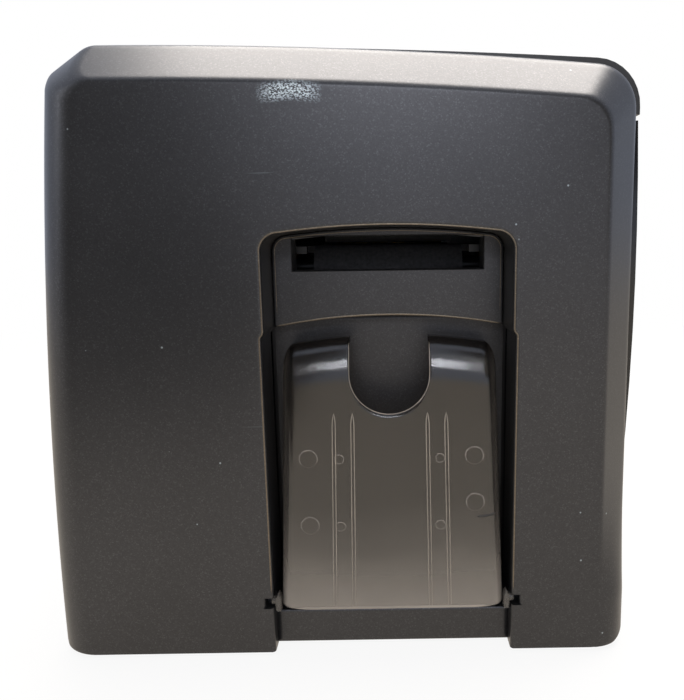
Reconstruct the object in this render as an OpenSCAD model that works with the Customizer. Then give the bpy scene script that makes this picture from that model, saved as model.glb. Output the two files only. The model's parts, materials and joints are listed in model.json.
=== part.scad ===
// Desktop plastic-card printer with a hinged top cover, a card hopper at the right end
// and a drop-down card tray in a moulded recess at the left end.
// X runs along the card path, +Y is the rear, Z is up. The origin is under the middle.

/* [Body] */
// Length over both end faces
body_length = 348; // [344:1:380]
// Depth from the front panel to the rear cover
body_depth = 200; // [196:1:220]
// Height of the crown above the bench
body_height = 201.6; // [200:0.2:214]
// Height of the covers' lower edge above the bench
foot_stand = 1.5; // [1:0.25:3]
// Wall of every moulded cover
shell_wall = 2.5; // [2:0.25:3.5]
// Gap between neighbouring covers
seam_gap = 0.5; // [0.4:0.1:1]

/* [Cover profile] */
// Radius of the crown's slow fall to the front on the end covers
crown_r = 1811; // [1600:10:2600]
// Radius of the same fall on the top cover
lid_crown_r = 2670; // [2400:10:3200]
// Radius of the slow bow of the rear
rear_bow_r = 1560; // [1400:10:2400]
// How far the front leans outward over its height
front_lean = 2.6; // [0:0.1:4]
// Radius between the crown and the front
front_corner_r = 14; // [10:0.5:18]
// Radius of the lower rear corner
rear_corner_r = 15; // [8:0.5:20]
// Distance of the rear chamfer's top edge from the rear
rear_chamfer_in = 25; // [22:0.5:30]
// Drop of the rear chamfer
rear_chamfer_drop = 9; // [6:0.5:12]

/* [End covers] */
// Depth of an end cover along X
end_depth = 14.5; // [13.5:0.5:18]
// Depth of the bevel round the top and front
bevel_run = 12; // [9:0.5:13]
// Height of the top bevel on the face
bevel_top = 12.8; // [9:0.2:16]
// Width of the front bevel on the face
bevel_front = 11.2; // [8:0.2:14]
// Radius of the rear upright edge
rear_round_r = 11; // [6:0.5:12]

/* [Card path] */
// Width of a card
card_width = 54; // [54:0.5:56]
// Length of a card
card_length = 86; // [85:0.5:88]
// Depth of the card path below the crown
path_drop = 62.1; // [60:0.1:64]
// Middle of the card path from the middle of the body
path_y = -17.1; // [-19:0.1:-15]

/* [Output recess] */
// Half width of the recess above its step
recess_half = 39.4; // [38:0.1:41]
// How much wider the recess is below its step
recess_step = 1.1; // [0.5:0.1:2]
// Depth of the step in the recess sides below the card path
recess_step_drop = 29; // [26:0.5:33]
// Height of the recess's top at its sides above the card path
arch_up = 3.6; // [2.6:0.1:8]
// Rise of the arch in its middle
arch_rise = 2.1; // [0.5:0.1:4]
// Radius of the recess's top corners
arch_corner_r = 5.5; // [3:0.5:8]
// Depth of the panel with the card slot
panel_in = 19.6; // [17:0.2:22]
// Depth of the pocket behind the tray
pocket_in = 27; // [24:0.5:30]
// Depth of the sill under the tray
sill_in = 6; // [4:0.5:8]
// Height of the pocket's floor above the bench
sill_z = 14; // [12:0.5:15]
// Depth of the lip over the pocket below the card path, at its sides
lip_drop = 27.7; // [24:0.1:28.5]
// Rise of the lip in its middle
lip_rise = 3.7; // [1:0.1:5]
// Width of the card slot
slot_w = 65; // [60:0.5:68]
// Depth of the card slot's lower edge below the card path
slot_drop = 8.5; // [7:0.5:10]
// Height of the card slot
slot_h = 11.5; // [10:0.5:12]

/* [Card tray] */
// Half width of the tray at its foot
tray_half = 38.2; // [36:0.1:38.8]
// How much narrower each side is at the top
tray_taper = 2.4; // [0:0.1:4]
// Lower edge of the tray above the bench
tray_z = 15.8; // [15:0.1:17]
// Gap between the tray's top and the lip's sides
tray_lip_gap = 2.5; // [2:0.5:8]
// How far the tray's face leans back
tray_lean = 5; // [2:0.5:6]
// Wall of the tray
tray_wall = 2; // [1.6:0.1:2.6]
// Depth of the tray's side walls
tray_deep = 11; // [8:0.5:12]
// Radius of the tray's rolled top edge
tray_roll_r = 9; // [6:0.5:10]
// Width of the thumb notch
notch_w = 26.4; // [20:0.2:30]
// Depth of the thumb notch
notch_h = 25; // [18:0.5:28]
// Radius of the tray's pivot pins
tray_pin_r = 1.5; // [1.2:0.1:1.6]

/* [Chassis] */
// Thickness of the sheet-steel plates
plate_t = 2; // [1.5:0.25:2.5]
// Half distance between the inner faces of the two frames
frame_half = 38; // [37:0.5:39]
// Radius of the roller shafts
shaft_r = 3; // [2.5:0.25:3.5]
// Radius of the driven rollers
roller_r = 8; // [7:0.25:8.5]
// Radius of the pinch rollers
pinch_r = 5; // [4.5:0.25:5.5]
// Radius of the belt pulleys
pulley_r = 6.4; // [6:0.2:7]
// Pitch of the gear teeth divided by pi
gear_module = 0.8; // [0.75:0.05:0.85]

/* [Ribbon and print head] */
// Distance from the transport roller to the take-up spool
take_up_gap = 30; // [29:0.5:33]
// Distance from the supply spool to the hopper
supply_gap = 42.5; // [41:0.5:45]
// Height of the spools above the card path
spool_rise = 26.5; // [25:0.5:28]
// Radius of the full supply roll
supply_r = 15; // [12:0.5:16]
// Radius of the take-up roll
take_up_r = 9; // [8:0.5:14]

/* [Top cover] */
// Radius of the top cover's hinge barrel
lid_barrel_r = 6; // [5:0.25:6.5]
// Radius of the hinge pins
lid_pin_r = 2; // [1.75:0.25:2.5]
// How far the top cover's front stands out over the end covers
lid_proud = 1.9; // [1:0.1:2.4]

/* [Hopper] */
// Height of the hopper above the card path
hopper_h = 46; // [40:1:48]
// Height of the hopper door
door_h = 42; // [38:1:44]
// Radius of the door's pivot pins
door_pin_r = 1.25; // [1:0.25:1.5]

/* [Controls] */
// Width of the display window
window_w = 58; // [40:1:70]
// Height of the display window
window_h = 21; // [16:1:26]
// Radius of the round buttons
button_r = 6; // [5:0.5:8]
// Travel of the buttons
button_travel = 1.2; // [0.8:0.1:1.6]

/* [Hidden] */
$fn = 48;

// Outer faces and edges
front_y = -body_depth / 2;
rear_y = body_depth / 2;
face_x = body_length / 2;
crown_y = rear_y - rear_chamfer_in;
chamfer_z = body_height - rear_chamfer_drop;
skirt_z = foot_stand;
shell_x = face_x - end_depth - seam_gap;
front_set = 0.9;

// Levels that follow the crown and the card path
path_z = body_height - path_drop;
arch_z = path_z + arch_up;
recess_step_z = path_z - recess_step_drop;
lip_z = path_z - lip_drop;
slot_z = path_z - slot_drop;
tray_h = lip_z - tray_z - tray_lip_gap;

// Chassis levels
pan_z = foot_stand + 1.5;
pan_top = pan_z + plate_t;
frame_front = path_y - frame_half;
frame_rear = path_y + frame_half;
frame_top = path_z + 33;
frame_left = -face_x + pocket_in + shell_wall + 2;
pan_half = shell_x - 3;
pan_left = -face_x + pocket_in + shell_wall + 0.5;
pan_front = front_y + 13.5;
pan_rear = rear_y - rear_corner_r - 1;
frame_right = pan_half - plate_t - 1;

// Card path stations
pick_x = face_x - 68;
cleaning_x = pick_x - 62;
exit_x = -face_x + 48;
transport_x = exit_x + 28;
hopper_left = pick_x - card_length / 2 + 7.5;
spool_reach = (hopper_left - transport_x - take_up_gap - supply_gap) / 2;
head_x = transport_x + take_up_gap + spool_reach;
shaft_places = [pick_x, cleaning_x, head_x, transport_x, exit_x];
roller_z = path_z - roller_r;
pinch_gap = 0.9;
pinch_z = path_z + pinch_gap + pinch_r;
roller_half = card_width / 2 + 0.4;

// Drive planes behind the rear frame
belt_y = frame_rear + plate_t + 2;
belt_w = 5;
gear_y = belt_y + belt_w + 3;
gear_w = 5;
bracket_y = gear_y + gear_w + 2;
belt_t = 1.2;
belt_clear = 0.3;

// Gear trains
platen_teeth = 40;
card_teeth = 14;
take_up_teeth = 36;
ribbon_teeth = 12;
card_motor_z = roller_z - gear_module * (platen_teeth + card_teeth) / 2;
supply_x = head_x + spool_reach;
take_up_x = head_x - spool_reach;
spool_z = path_z + spool_rise;
ribbon_gear_angle = -135;
ribbon_reach = gear_module * (take_up_teeth + ribbon_teeth) / 2;
ribbon_motor_x = take_up_x + ribbon_reach * cos(ribbon_gear_angle);
ribbon_motor_z = spool_z + ribbon_reach * sin(ribbon_gear_angle);

// Top cover hinge
lid_axis_y = crown_y - 5;
lid_axis_z = body_height - lid_barrel_r - 0.1;
lip_y = lid_axis_y + lid_barrel_r + seam_gap;
knuckle_x = 120;
knuckle_w = 20;
lid_front_z = body_height - 22.1;

// Tray hinge
tray_front_x = -face_x + 1;
tray_axis_x = tray_front_x + 1.7;
tray_axis_z = tray_z + 3.9;

// Hopper
hopper_right = face_x - 7.5;
hopper_half = card_width / 2 + 0.75;
door_half = 31;
door_z = path_z - 8;
door_axis_x = face_x - 2.6;
door_axis_z = door_z + 3;
pusher_x = pick_x + 12;
rod_y_place = path_y + (hopper_half + plate_t + frame_half) / 2;

// ---------- helpers ----------

module along_x(x0, run) {
    translate([x0, 0, 0]) rotate([90, 0, 90]) linear_extrude(run) children();
}

module along_y(y0, run) {
    translate([0, y0 + run, 0]) rotate([90, 0, 0]) linear_extrude(run) children();
}

module rod_x(x0, run, y, z, r) {
    translate([x0, y, z]) rotate([0, 90, 0]) cylinder(h = run, r = r);
}

module rod_y(x, z, y0, run, r) {
    translate([x, y0 + run, z]) rotate([90, 0, 0]) cylinder(h = run, r = r);
}

module rod_z(x, y, z0, run, r) {
    translate([x, y, z0]) cylinder(h = run, r = r);
}

// A block given by its least corner and its size
module block(corner, size) {
    translate(corner) cube(size);
}

// A rectangle with round corners, centred
module round_rect(w, h, r) {
    square([w - 2 * r, h], center = true);
    square([w, h - 2 * r], center = true);
    for (sx = [-1, 1], sy = [-1, 1])
        translate([sx * (w / 2 - r), sy * (h / 2 - r)]) circle(r);
}

// Points of an arc
function arc(c, r, a0, a1,
    n) = [for (i = [0 : n]) c + r * [cos(a0 + (a1 - a0) * i / n), sin(a0 + (a1 - a0) * i / n)]];

// Straight-flanked gear outline: root, two tip corners, root for each tooth
function gear_points(n, m) = [
    for (i = [0 : n - 1]) for (p = [[-0.31, -1.25], [-0.13, 0.9], [0.13, 0.9], [0.31, -1.25]])
        (n / 2 + p[1]) * m * [cos((i + p[0]) * 360 / n), sin((i + p[0]) * 360 / n)]
];

// ---------- outline of the body in the Y-Z plane ----------

// Rear line at height z, crown line at depth y and front line at height z, each moved inward
function rear_line(z, inset) = rear_y - inset - pow(z - skirt_z, 2) / (2 * rear_bow_r);
function crown_line(y, inset, bow_r) = body_height - inset - pow(max(crown_y - y, 0), 2) / (2 * bow_r);
function front_line(z, inset) = front_y + front_set + inset
    + front_lean * (z - skirt_z) / (body_height - skirt_z);

// The rear chamfer as a line n.p = c, with n its outward normal
chamfer_in = rear_y - pow(chamfer_z - skirt_z, 2) / (2 * rear_bow_r) - crown_y;
chamfer_a = atan2(rear_chamfer_drop, chamfer_in);
chamfer_c = sin(chamfer_a) * crown_y + cos(chamfer_a) * body_height;
function chamfer_y(z, inset) = (chamfer_c - inset - cos(chamfer_a) * z) / sin(chamfer_a);
function chamfer_zz(y, inset) = (chamfer_c - inset - sin(chamfer_a) * y) / cos(chamfer_a);

// Front corner between the crown and the front line
function corner_centre(top_in, front_in, r, bow_r) =
    let (y = front_line(body_height - 20, front_in) + r)
    [y, crown_line(y, top_in, bow_r) - r / cos(atan((crown_y - y) / bow_r))];

function front_corner(top_in, front_in, r, bow_r, n) =
    let (c = corner_centre(top_in, front_in, r, bow_r), s = atan((crown_y - c[0]) / bow_r))
    arc(c, r, 90 + s, 180, n);

// The crown from the rear chamfer to the front corner
function crown(top_in, y0, y1, bow_r, n) =
    [for (i = [0 : n]) let (y = y0 + (y1 - y0) * i / n) [y, crown_line(y, top_in, bow_r)]];

// Whole outline, counter-clockwise, with its own inset at the top, front, rear and bottom
function body_outline(top_in, front_in, rear_in, low_in, corner_r) =
    let (
        z0 = skirt_z + low_in,
        cr = max(rear_corner_r - rear_in, 1),
        rc = [rear_line(skirt_z + rear_corner_r, rear_in) - cr, z0 + cr],
        mid_in = (top_in + rear_in) / 2,
        top_z = body_height - top_in,
        y1 = chamfer_y(top_z, mid_in),
        z2 = chamfer_zz(rear_line(chamfer_z, rear_in), mid_in),
        fc = corner_centre(top_in, front_in, corner_r, crown_r)
    )
    concat(
        arc(rc, cr, -90, 0, 6),
        [for (i = [1 : 6]) let (z = rc[1] + (z2 - rc[1]) * i / 6) [rear_line(z, rear_in), z]],
        crown(top_in, y1, fc[0] + 2, crown_r, 8),
        front_corner(top_in, front_in, corner_r, crown_r, 7),
        [[front_line(z0 + 5, front_in), z0 + 5], [front_line(z0, front_in) + 12, z0]]
    );

// ---------- end covers ----------

// Closed solid through rings of equally many points, each ring given as [x, [[y, z], ...]]
module loft(rings) {
    n = len(rings[0][1]);
    last = (len(rings) - 1) * n;
    polyhedron(
        [for (ring = rings) for (p = ring[1]) [ring[0], p[0], p[1]]],
        concat(
            [[for (i = [0 : n - 1]) i], [for (i = [n - 1 : -1 : 0]) last + i]],
            [for (k = [0 : len(rings) - 2]) for (i = [0 : n - 1])
                let (a = k * n + i, b = k * n + (i + 1) % n) each [[a, a + n, b + n], [a, b + n, b]]]
        )
    );
}

// Outline of an end cover at a depth behind its face, every side moved in by skin
function end_ring(run, skin) =
    let (
        left = max(1 - run / bevel_run, 0),
        turn = acos(max(1 - run / rear_round_r, 0))
    )
    body_outline(skin + bevel_top * left, skin + bevel_front * left, skin + rear_round_r * (1 - sin(turn)),
        skin / 2, max(front_corner_r - 4 * left - skin, 3));

// Solid form of an end cover with every face moved in by skin
module end_form(skin, depth) {
    rear_runs = [for (a = [0, 22, 42, 60, 76]) rear_round_r * (1 - cos(a))];
    loft([for (run = concat(rear_runs, [bevel_run, depth])) [-face_x + skin + run, end_ring(run, skin)]]);
}

// Hollow shell of an end cover, open to the inside and along its foot
module end_shell() {
    difference() {
        end_form(0, end_depth);
        end_form(shell_wall, end_depth + 2);
    }
}

// Outline of the output recess in the Y-Z plane, grown by g
function recess_outline(g) =
    let (
        w = recess_half + g,
        v = recess_half + recess_step + g,
        r = arch_corner_r + g,
        z = arch_z + g,
        top_r = pow(recess_half - arch_corner_r, 2) / (2 * arch_rise)
    )
    concat(
        [[path_y + v, -1], [path_y + v, recess_step_z], [path_y + w, recess_step_z + 2]],
        arc([path_y + w - r, z - r], r, 0, 80, 5),
        [for (i = [-4 : 4]) let (y = -(w - r) * i / 5) [path_y + y, z + arch_rise - y * y / (2 * top_r)]],
        arc([path_y - w + r, z - r], r, 100, 180, 5),
        [[path_y - w, recess_step_z + 2], [path_y - v, recess_step_z], [path_y - v, -1]]
    );

// Outline of the pocket under the lip, grown by g
function pocket_outline(g) =
    let (v = recess_half + recess_step + g, bow_r = pow(recess_half, 2) / (2 * lip_rise))
    concat(
        [[path_y + v, sill_z - g]],
        [for (i = [-5 : 5]) let (y = -v * i / 5) [path_y + y, lip_z + lip_rise + g - y * y / (2 * bow_r)]],
        [[path_y - v, sill_z - g]]
    );

module left_end_cover() {
    color("dimgray") difference() {
        union() {
            end_shell();
            // walls of the recess and its pocket
            intersection() {
                union() {
                    along_x(-face_x + 1.5, panel_in - 1.5 + shell_wall) polygon(recess_outline(shell_wall));
                    along_x(-face_x + 1.5, pocket_in - 1.5 + shell_wall)
                        polygon(pocket_outline(shell_wall));
                }
                block([-face_x, front_y, skirt_z], [pocket_in + shell_wall, body_depth, body_height]);
            }
        }
        // the recess over the tray, the pocket behind it and the sill below it
        along_x(-face_x - 1, sill_in + 1) polygon(recess_outline(0));
        difference() {
            along_x(-face_x - 1, panel_in + 1) polygon(recess_outline(0));
            block([-face_x - 2, front_y, -2], [pocket_in, body_depth, sill_z + 2]);
        }
        along_x(-face_x, pocket_in) polygon(pocket_outline(0));
        // thickness of the sill behind its face
        block([-face_x + sill_in + shell_wall, path_y - recess_half, skirt_z - 1],
            [pocket_in, 2 * recess_half, sill_z - shell_wall - skirt_z + 1]);
        // card slot
        block([-face_x + panel_in - 1, path_y - slot_w / 2, slot_z], [shell_wall + 2, slot_w, slot_h]);
        // pivot notches in the side walls, open at the face
        for (s = [-1, 1])
            block([-face_x - 1, path_y + s * (recess_half + recess_step + 1.2) - 2.2, tray_axis_z - 2],
                [tray_axis_x + face_x + 3.2, 4.4, 3.9]);
    }
    color("dimgray") end_bosses();
}

// Screw bosses behind the face, which the frame flanges are drawn against
end_screws = [for (y = [front_y + 18, rear_y - 20], z = [44, 160]) [y, z]];
web_w = 24;
boss_r = 4;
screw_r = 1.5;

module end_bosses() {
    for (p = end_screws) difference() {
        rod_x(-face_x + shell_wall / 2, end_depth - shell_wall / 2 + seam_gap, p[0], p[1], boss_r);
        rod_x(-face_x + shell_wall + 2, end_depth, p[0], p[1], screw_r);
    }
}

module right_end_cover() {
    color("dimgray") mirror([1, 0, 0]) difference() {
        union() {
            end_shell();
            end_bosses();
            // collar round the door opening
            along_x(-face_x + 1.5, 5) translate([path_y, door_z + door_h / 2])
                square([2 * door_half + 2 * shell_wall, door_h + 2 * shell_wall], center = true);
        }
        along_x(-face_x - 1, 12) translate([path_y, door_z + door_h / 2])
            square([2 * door_half, door_h], center = true);
        // bores for the door's pivot pins
        rod_y(-door_axis_x, door_axis_z, path_y - door_half - shell_wall - 1,
            2 * door_half + 2 * shell_wall + 2,
            door_pin_r);
    }
}

// ---------- top cover, front panel, rear cover ----------

// Outline of the top cover, inset by g: crown, corner and front, as an open row of points
function lid_line(g) =
    let (r = front_corner_r + 1 - g, fc = corner_centre(g, g - lid_proud, r, lid_crown_r))
    concat(
        crown(g, lid_axis_y, fc[0] + 2, lid_crown_r, 10),
        front_corner(g, g - lid_proud, r, lid_crown_r, 8),
        [[front_line(lid_front_z, g - lid_proud), lid_front_z]]
    );

function reversed(v) = [for (i = [len(v) - 1 : -1 : 0]) v[i]];

module top_cover() {
    color([0.13, 0.13, 0.14]) difference() {
        union() {
            along_x(-shell_x, 2 * shell_x) polygon(concat(lid_line(0), reversed(lid_line(shell_wall))));
            rod_x(-shell_x, 2 * shell_x, lid_axis_y, lid_axis_z, lid_barrel_r);
            // stiffening ribs under the crown
            for (x = [-130, 66]) along_x(x, 2) polygon(concat(
                [for (p = lid_line(1)) if (p[0] > front_y + 30) p],
                [[front_y + 32, body_height - 18], [front_y + 60, body_height - 10],
                    [lid_axis_y - 8, body_height - 10]]
            ));
            // end walls
            for (x = [-shell_x, shell_x - 2]) along_x(x, 2) polygon(concat(lid_line(1),
                [[front_y + 14, lid_front_z], [front_y + 26, body_height - 12],
                    [lid_axis_y, body_height - 10]]));
            // bosses that carry the head bracket
            for (x = head_screw_x, y = head_screw_y)
                rod_z(x, y, head_top_z, crown_line(y, 1, lid_crown_r) - head_top_z, 4);
        }
        for (x = [-knuckle_x, knuckle_x]) {
            block([x - knuckle_w / 2 - seam_gap, lid_axis_y - lid_barrel_r - seam_gap,
                lid_axis_z - lid_barrel_r - 1],
                [knuckle_w + 2 * seam_gap, 20, 20]);
        }
        for (x = [-knuckle_x, knuckle_x])
            rod_x(x - knuckle_w, 2 * knuckle_w, lid_axis_y, lid_axis_z, lid_pin_r + 0.05);
    }
}

head_screw_x = [head_x - 24, head_x + 24];
head_screw_y = [path_y - 30, path_y + 30];
head_top_z = body_height - 12;

// Steel pins of the top cover and of the hopper door
module hinge_pins() {
    color("silver") {
        for (x = [-knuckle_x, knuckle_x])
            rod_x(x - knuckle_w + 1, 2 * knuckle_w - 2, lid_axis_y, lid_axis_z, lid_pin_r);
        for (s = [-1, 1])
            rod_y(door_axis_x, door_axis_z, path_y + s * (door_half - 1.5) - 4, 8, door_pin_r - 0.01);
    }
}

panel_top_z = lid_front_z - 1.8;
panel_foot_z = skirt_z + 5;
panel_bow_r = 1080;
panel_bow_z = 118;

// Line of the front panel: its upper part swells out over the end covers' front line
function panel_line(z, g) = min(front_y + 0.1 + g + pow(z - panel_bow_z, 2) / (2 * panel_bow_r),
    front_line(z, g + 0.2));

// Row of points of the front panel, from its turned-under foot to its top
function panel_points(g) = concat(
    [[front_y + 12, skirt_z + g], [front_line(panel_foot_z, g + 0.2), panel_foot_z + g * 0.6]],
    [for (i = [1 : 10]) let (z = panel_foot_z + (panel_top_z - panel_foot_z) * i / 10) [panel_line(z, g),
        z]]
);

window_x = shell_x - 85;
window_z = body_height - 59.6;
button_x = [shell_x - 41, shell_x - 21];
button_z = window_z;
light_x = button_x;
light_z = button_z + 14;
release_x = 0;
release_z = body_height - 33.6;
release_w = 26;
release_h = 9;

module front_panel() {
    color([0.05, 0.05, 0.055]) difference() {
        union() {
            along_x(-shell_x, 2 * shell_x)
                polygon(concat(panel_points(0), reversed(panel_points(shell_wall))));
            // return flange along the top, which the top cover closes on
            block([-shell_x, front_y + 2, panel_top_z - 2], [2 * shell_x, 8, 2]);
            end_webs(concat(panel_points(1), reversed(panel_points(web_w))), -1);
            // tabs under the base pan
            for (x = [-90, 90]) block([x - 8, front_y + 10, skirt_z], [16, 10, pan_z - skirt_z]);
            // posts for the display module
            for (sx = [-1, 1], sz = [-1, 1])
                rod_y(window_x + sx * 34, window_z + sz * 13, front_y + 2, board_front - front_y - 2, 2.5);
            // posts onto the front frame
            for (p = [[-58, 60], [54, 60], [-60, path_z + 10.5], [16, path_z + 10.5]])
                rod_y(p[0], p[1], front_y + 2, frame_front - plate_t - front_y - 2, 5);
        }
        block([window_x - window_w / 2, front_y - 2, window_z - window_h / 2], [window_w, 6, window_h]);
        for (x = button_x) rod_y(x, button_z, front_y - 2, 8, button_r + 0.3);
        for (x = light_x) rod_y(x, light_z, front_y - 2, 8, 1.55);
        block([release_x - release_w / 2 - 0.3, front_y - 2, release_z - release_h / 2 - 0.3],
            [release_w + 0.6, 8, release_h + 0.6]);
    }
}

// Outer line of the rear cover from the lip to its foot
function rear_points(g) =
    let (
        z2 = chamfer_zz(rear_line(chamfer_z, g), g),
        cr = max(rear_corner_r - g, 1),
        rc = [rear_line(skirt_z + rear_corner_r, g) - cr, skirt_z + g + cr]
    )
    concat(
        [[lip_y, chamfer_zz(lip_y, g)]],
        [for (i = [0 : 9]) let (z = z2 + (rc[1] - z2) * i / 10) [rear_line(z, g), z]],
        arc(rc, cr, 0, -90, 8)
    );

switch_x = -shell_x + 17;
inlet_x = switch_x + 32;
inlet_z = 32;
socket_z = pan_top + 12;
supply_box_x = pan_left + 14;
board_x = supply_box_x + 84;
usb_x = board_x + 66;
ethernet_x = board_x + 96;
fan_x = shell_x - 49;
fan_z = body_height - 81.6;
fan_size = 50;
fan_y = rear_line(fan_z + fan_size / 2, shell_wall) - 12.5;

module rear_cover() {
    color("dimgray") difference() {
        union() {
            along_x(-shell_x, 2 * shell_x)
                polygon(concat(rear_points(0), reversed(rear_points(shell_wall))));
            for (x = [-knuckle_x, knuckle_x]) {
                rod_x(x - knuckle_w / 2, knuckle_w, lid_axis_y, lid_axis_z, lid_barrel_r - 0.4);
                along_x(x - knuckle_w / 2, knuckle_w)
                    polygon([[lid_axis_y, lid_axis_z - lid_barrel_r + 0.4],
                    [lid_axis_y, lid_axis_z - 1], [lip_y + 2, lid_axis_z - 1], [lip_y + 8, lid_axis_z - 2],
                    [lip_y + 12, lid_axis_z - 10]]);
            }
            // pads that the fan is screwed to
            for (sx = [-1, 1], sz = [-1, 1])
                rod_y(fan_x + sx * 20, fan_z + sz * 20, fan_y + 10,
                    rear_line(fan_z + sz * 20, 1) - fan_y - 10, 3);
            // feet that stand on the base pan
            for (s = [-1, 1])
                block([s * (pan_half - 36) - 8, pan_rear - 8, skirt_z], [16, 12, pan_z - skirt_z]);
            end_webs(concat(rear_points(1), reversed(rear_points(web_w))), 1);
        }
        for (x = [-knuckle_x, knuckle_x])
            rod_x(x - knuckle_w, 2 * knuckle_w, lid_axis_y, lid_axis_z, lid_pin_r + 0.02);
        // air slots over the fan and beside it
        for (i = [-4 : 4])
            block([fan_x + i * 5 - 1.25, rear_y - 20, fan_z - slot_reach(i)], [2.5, 30, 2 * slot_reach(i)]);
        for (i = [0 : 11]) block([-60 + i * 7, rear_y - 20, fan_z], [3, 30, 34]);
        block([inlet_x - 15, rear_y - 12, inlet_z - 12], [30, 20, 24]);
        block([switch_x - 6.5, rear_y - 12, inlet_z - 9.5], [13, 20, 19]);
        block([usb_x - 6.5, rear_y - 12, socket_z - 6], [13, 20, 12]);
        block([ethernet_x - 8.5, rear_y - 12, socket_z - 7.5], [17, 20, 15]);
    }
}

function slot_reach(i) = sqrt(pow(23, 2) - pow(i * 5, 2));

// ---------- base ----------

foot_gap = 20.9;
foot_x = pan_half - 18;
foot_y = [frame_front - foot_gap, rear_y - 30];
foot_r = 9;
foot_stem_r = 2.1;
pan_flange = 12;
pan_notch = recess_half + recess_step + shell_wall + 0.5;

module base_pan() {
    color("silver") difference() {
        union() {
            block([pan_left, pan_front, pan_z], [pan_half - pan_left, pan_rear - pan_front, plate_t]);
            // upturned flanges
            block([pan_left, pan_front, pan_z], [pan_half - pan_left, plate_t, pan_flange]);
            block([pan_left, pan_rear - plate_t, pan_z], [pan_half - pan_left, plate_t, 5]);
            block([pan_half - plate_t, pan_front, pan_z], [plate_t, pan_rear - pan_front, pan_flange]);
            // ears beside the output recess
            block([-pan_half, pan_front, pan_z],
                [pan_half + pan_left + 1, path_y - pan_notch - pan_front, plate_t]);
            block([-pan_half, path_y + pan_notch, pan_z],
                [pan_half + pan_left + 1, pan_rear - path_y - pan_notch, plate_t]);
        }
        for (sx = [-1, 1], y = foot_y) rod_z(sx * foot_x, y, pan_z - 1, plate_t + 2, foot_stem_r + 0.1);
        for (x = frame_screw_x, y = frame_screw_y) rod_z(x, y, pan_z - 1, plate_t + 2, screw_r);
        for (i = [0 : 9]) block([-40 + i * 8, rear_y - 60, pan_z - 1], [3.5, 30, plate_t + 2]);
    }
}

module rubber_feet() {
    color([0.08, 0.08, 0.08]) for (sx = [-1, 1], y = foot_y) {
        translate([sx * foot_x, y, 0]) rotate_extrude()
            polygon([[0, 0], [foot_r - 1, 0], [foot_r, pan_z], [foot_stem_r, pan_z],
                [foot_stem_r, pan_top], [3, pan_top],
                [2, pan_top + 3], [0, pan_top + 3]]);
    }
}

// ---------- output: tray and bezel ----------

// Side profile of the tray in the X-Z plane, its front moved in by g
function tray_profile(g) =
    let (
        r = tray_roll_r - g,
        lean = atan(tray_lean / tray_h),
        top_c = [tray_front_x + tray_lean + tray_roll_r - 1, tray_z + tray_h - tray_roll_r]
    )
    concat(
        [[tray_front_x + tray_deep + 1 + g, tray_z + g], [tray_front_x + 3 + g, tray_z + g]],
        [[tray_front_x + g + 0.6, tray_z + g + 0.8], [tray_front_x + g, tray_z + g + 3]],
        arc(top_c, r, 180 - lean, 68, 10),
        [[tray_front_x + tray_lean + tray_deep + 5 + g, tray_z + tray_h - 14]]
    );

// Front outline of the tray in the Y-Z plane, its sides moved in by g
function tray_face(g) =
    let (w = tray_half - g, v = tray_half - tray_taper - g, top = tray_z + tray_h + 2)
    [
        [path_y + w - 3, tray_z + g - 1], [path_y + w, tray_z + 4], [path_y + v, top],
        [path_y - v, top], [path_y - w, tray_z + 4], [path_y - w + 3, tray_z + g - 1]
    ];

module tray_block(g) {
    intersection() {
        along_y(path_y - tray_half, 2 * tray_half) polygon(tray_profile(g));
        along_x(-face_x, 40) polygon(tray_face(g));
    }
}

rib_y = [-19.6, -13.1, 13.1, 19.6];
rib_top = 74;

module output_tray() {
    color([0.55, 0.55, 0.55, 0.6]) difference() {
        union() {
            difference() {
                tray_block(0);
                // hollow behind the face, open at the back
                tray_hollow();
            }
            // stiffening ribs behind the face
            intersection() {
                for (y = rib_y) block([-face_x, path_y + y - 0.6, tray_z + 2],
                    [tray_wall + 6, 1.2, rib_top - tray_z - 2]);
                translate([tray_wall + 1, 0, 0]) tray_block(0);
                block([-face_x, front_y, 0], [tray_wall + 4.4, body_depth, body_height]);
            }
            // pivot pins
            for (s = [-1, 1])
                rod_y(tray_axis_x, tray_axis_z, path_y + s * (tray_half + 1) - 2.4, 4.8, tray_pin_r);
        }
        // thumb notch with a round foot
        along_x(-face_x - 1, 40) translate([path_y, tray_z + tray_h - notch_h]) {
            translate([0, notch_r]) circle(notch_r);
            translate([-notch_w / 2, notch_r]) square([notch_w, notch_h + 10]);
        }
    }
}

notch_r = notch_w / 2;

module tray_hollow() {
    intersection() {
        union() {
            along_y(path_y - tray_half, 2 * tray_half) polygon(tray_profile(tray_wall));
            block([tray_front_x + tray_deep - 1 + tray_wall, path_y - tray_half, tray_z + tray_wall],
                [20, 2 * tray_half, tray_h - tray_roll_r - 2]);
        }
        along_x(-face_x, 60) polygon(tray_face(tray_wall));
    }
}

module exit_bezel() {
    color("black") difference() {
        block([-face_x + panel_in + shell_wall, path_y - slot_w / 2 - 3, slot_z - 2.5],
            [frame_left + face_x - panel_in - shell_wall - 0.5, slot_w + 6, slot_h + 5]);
        block([-face_x + panel_in, path_y - slot_w / 2, slot_z], [30, slot_w, slot_h]);
    }
}

// ---------- chassis ----------

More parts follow.
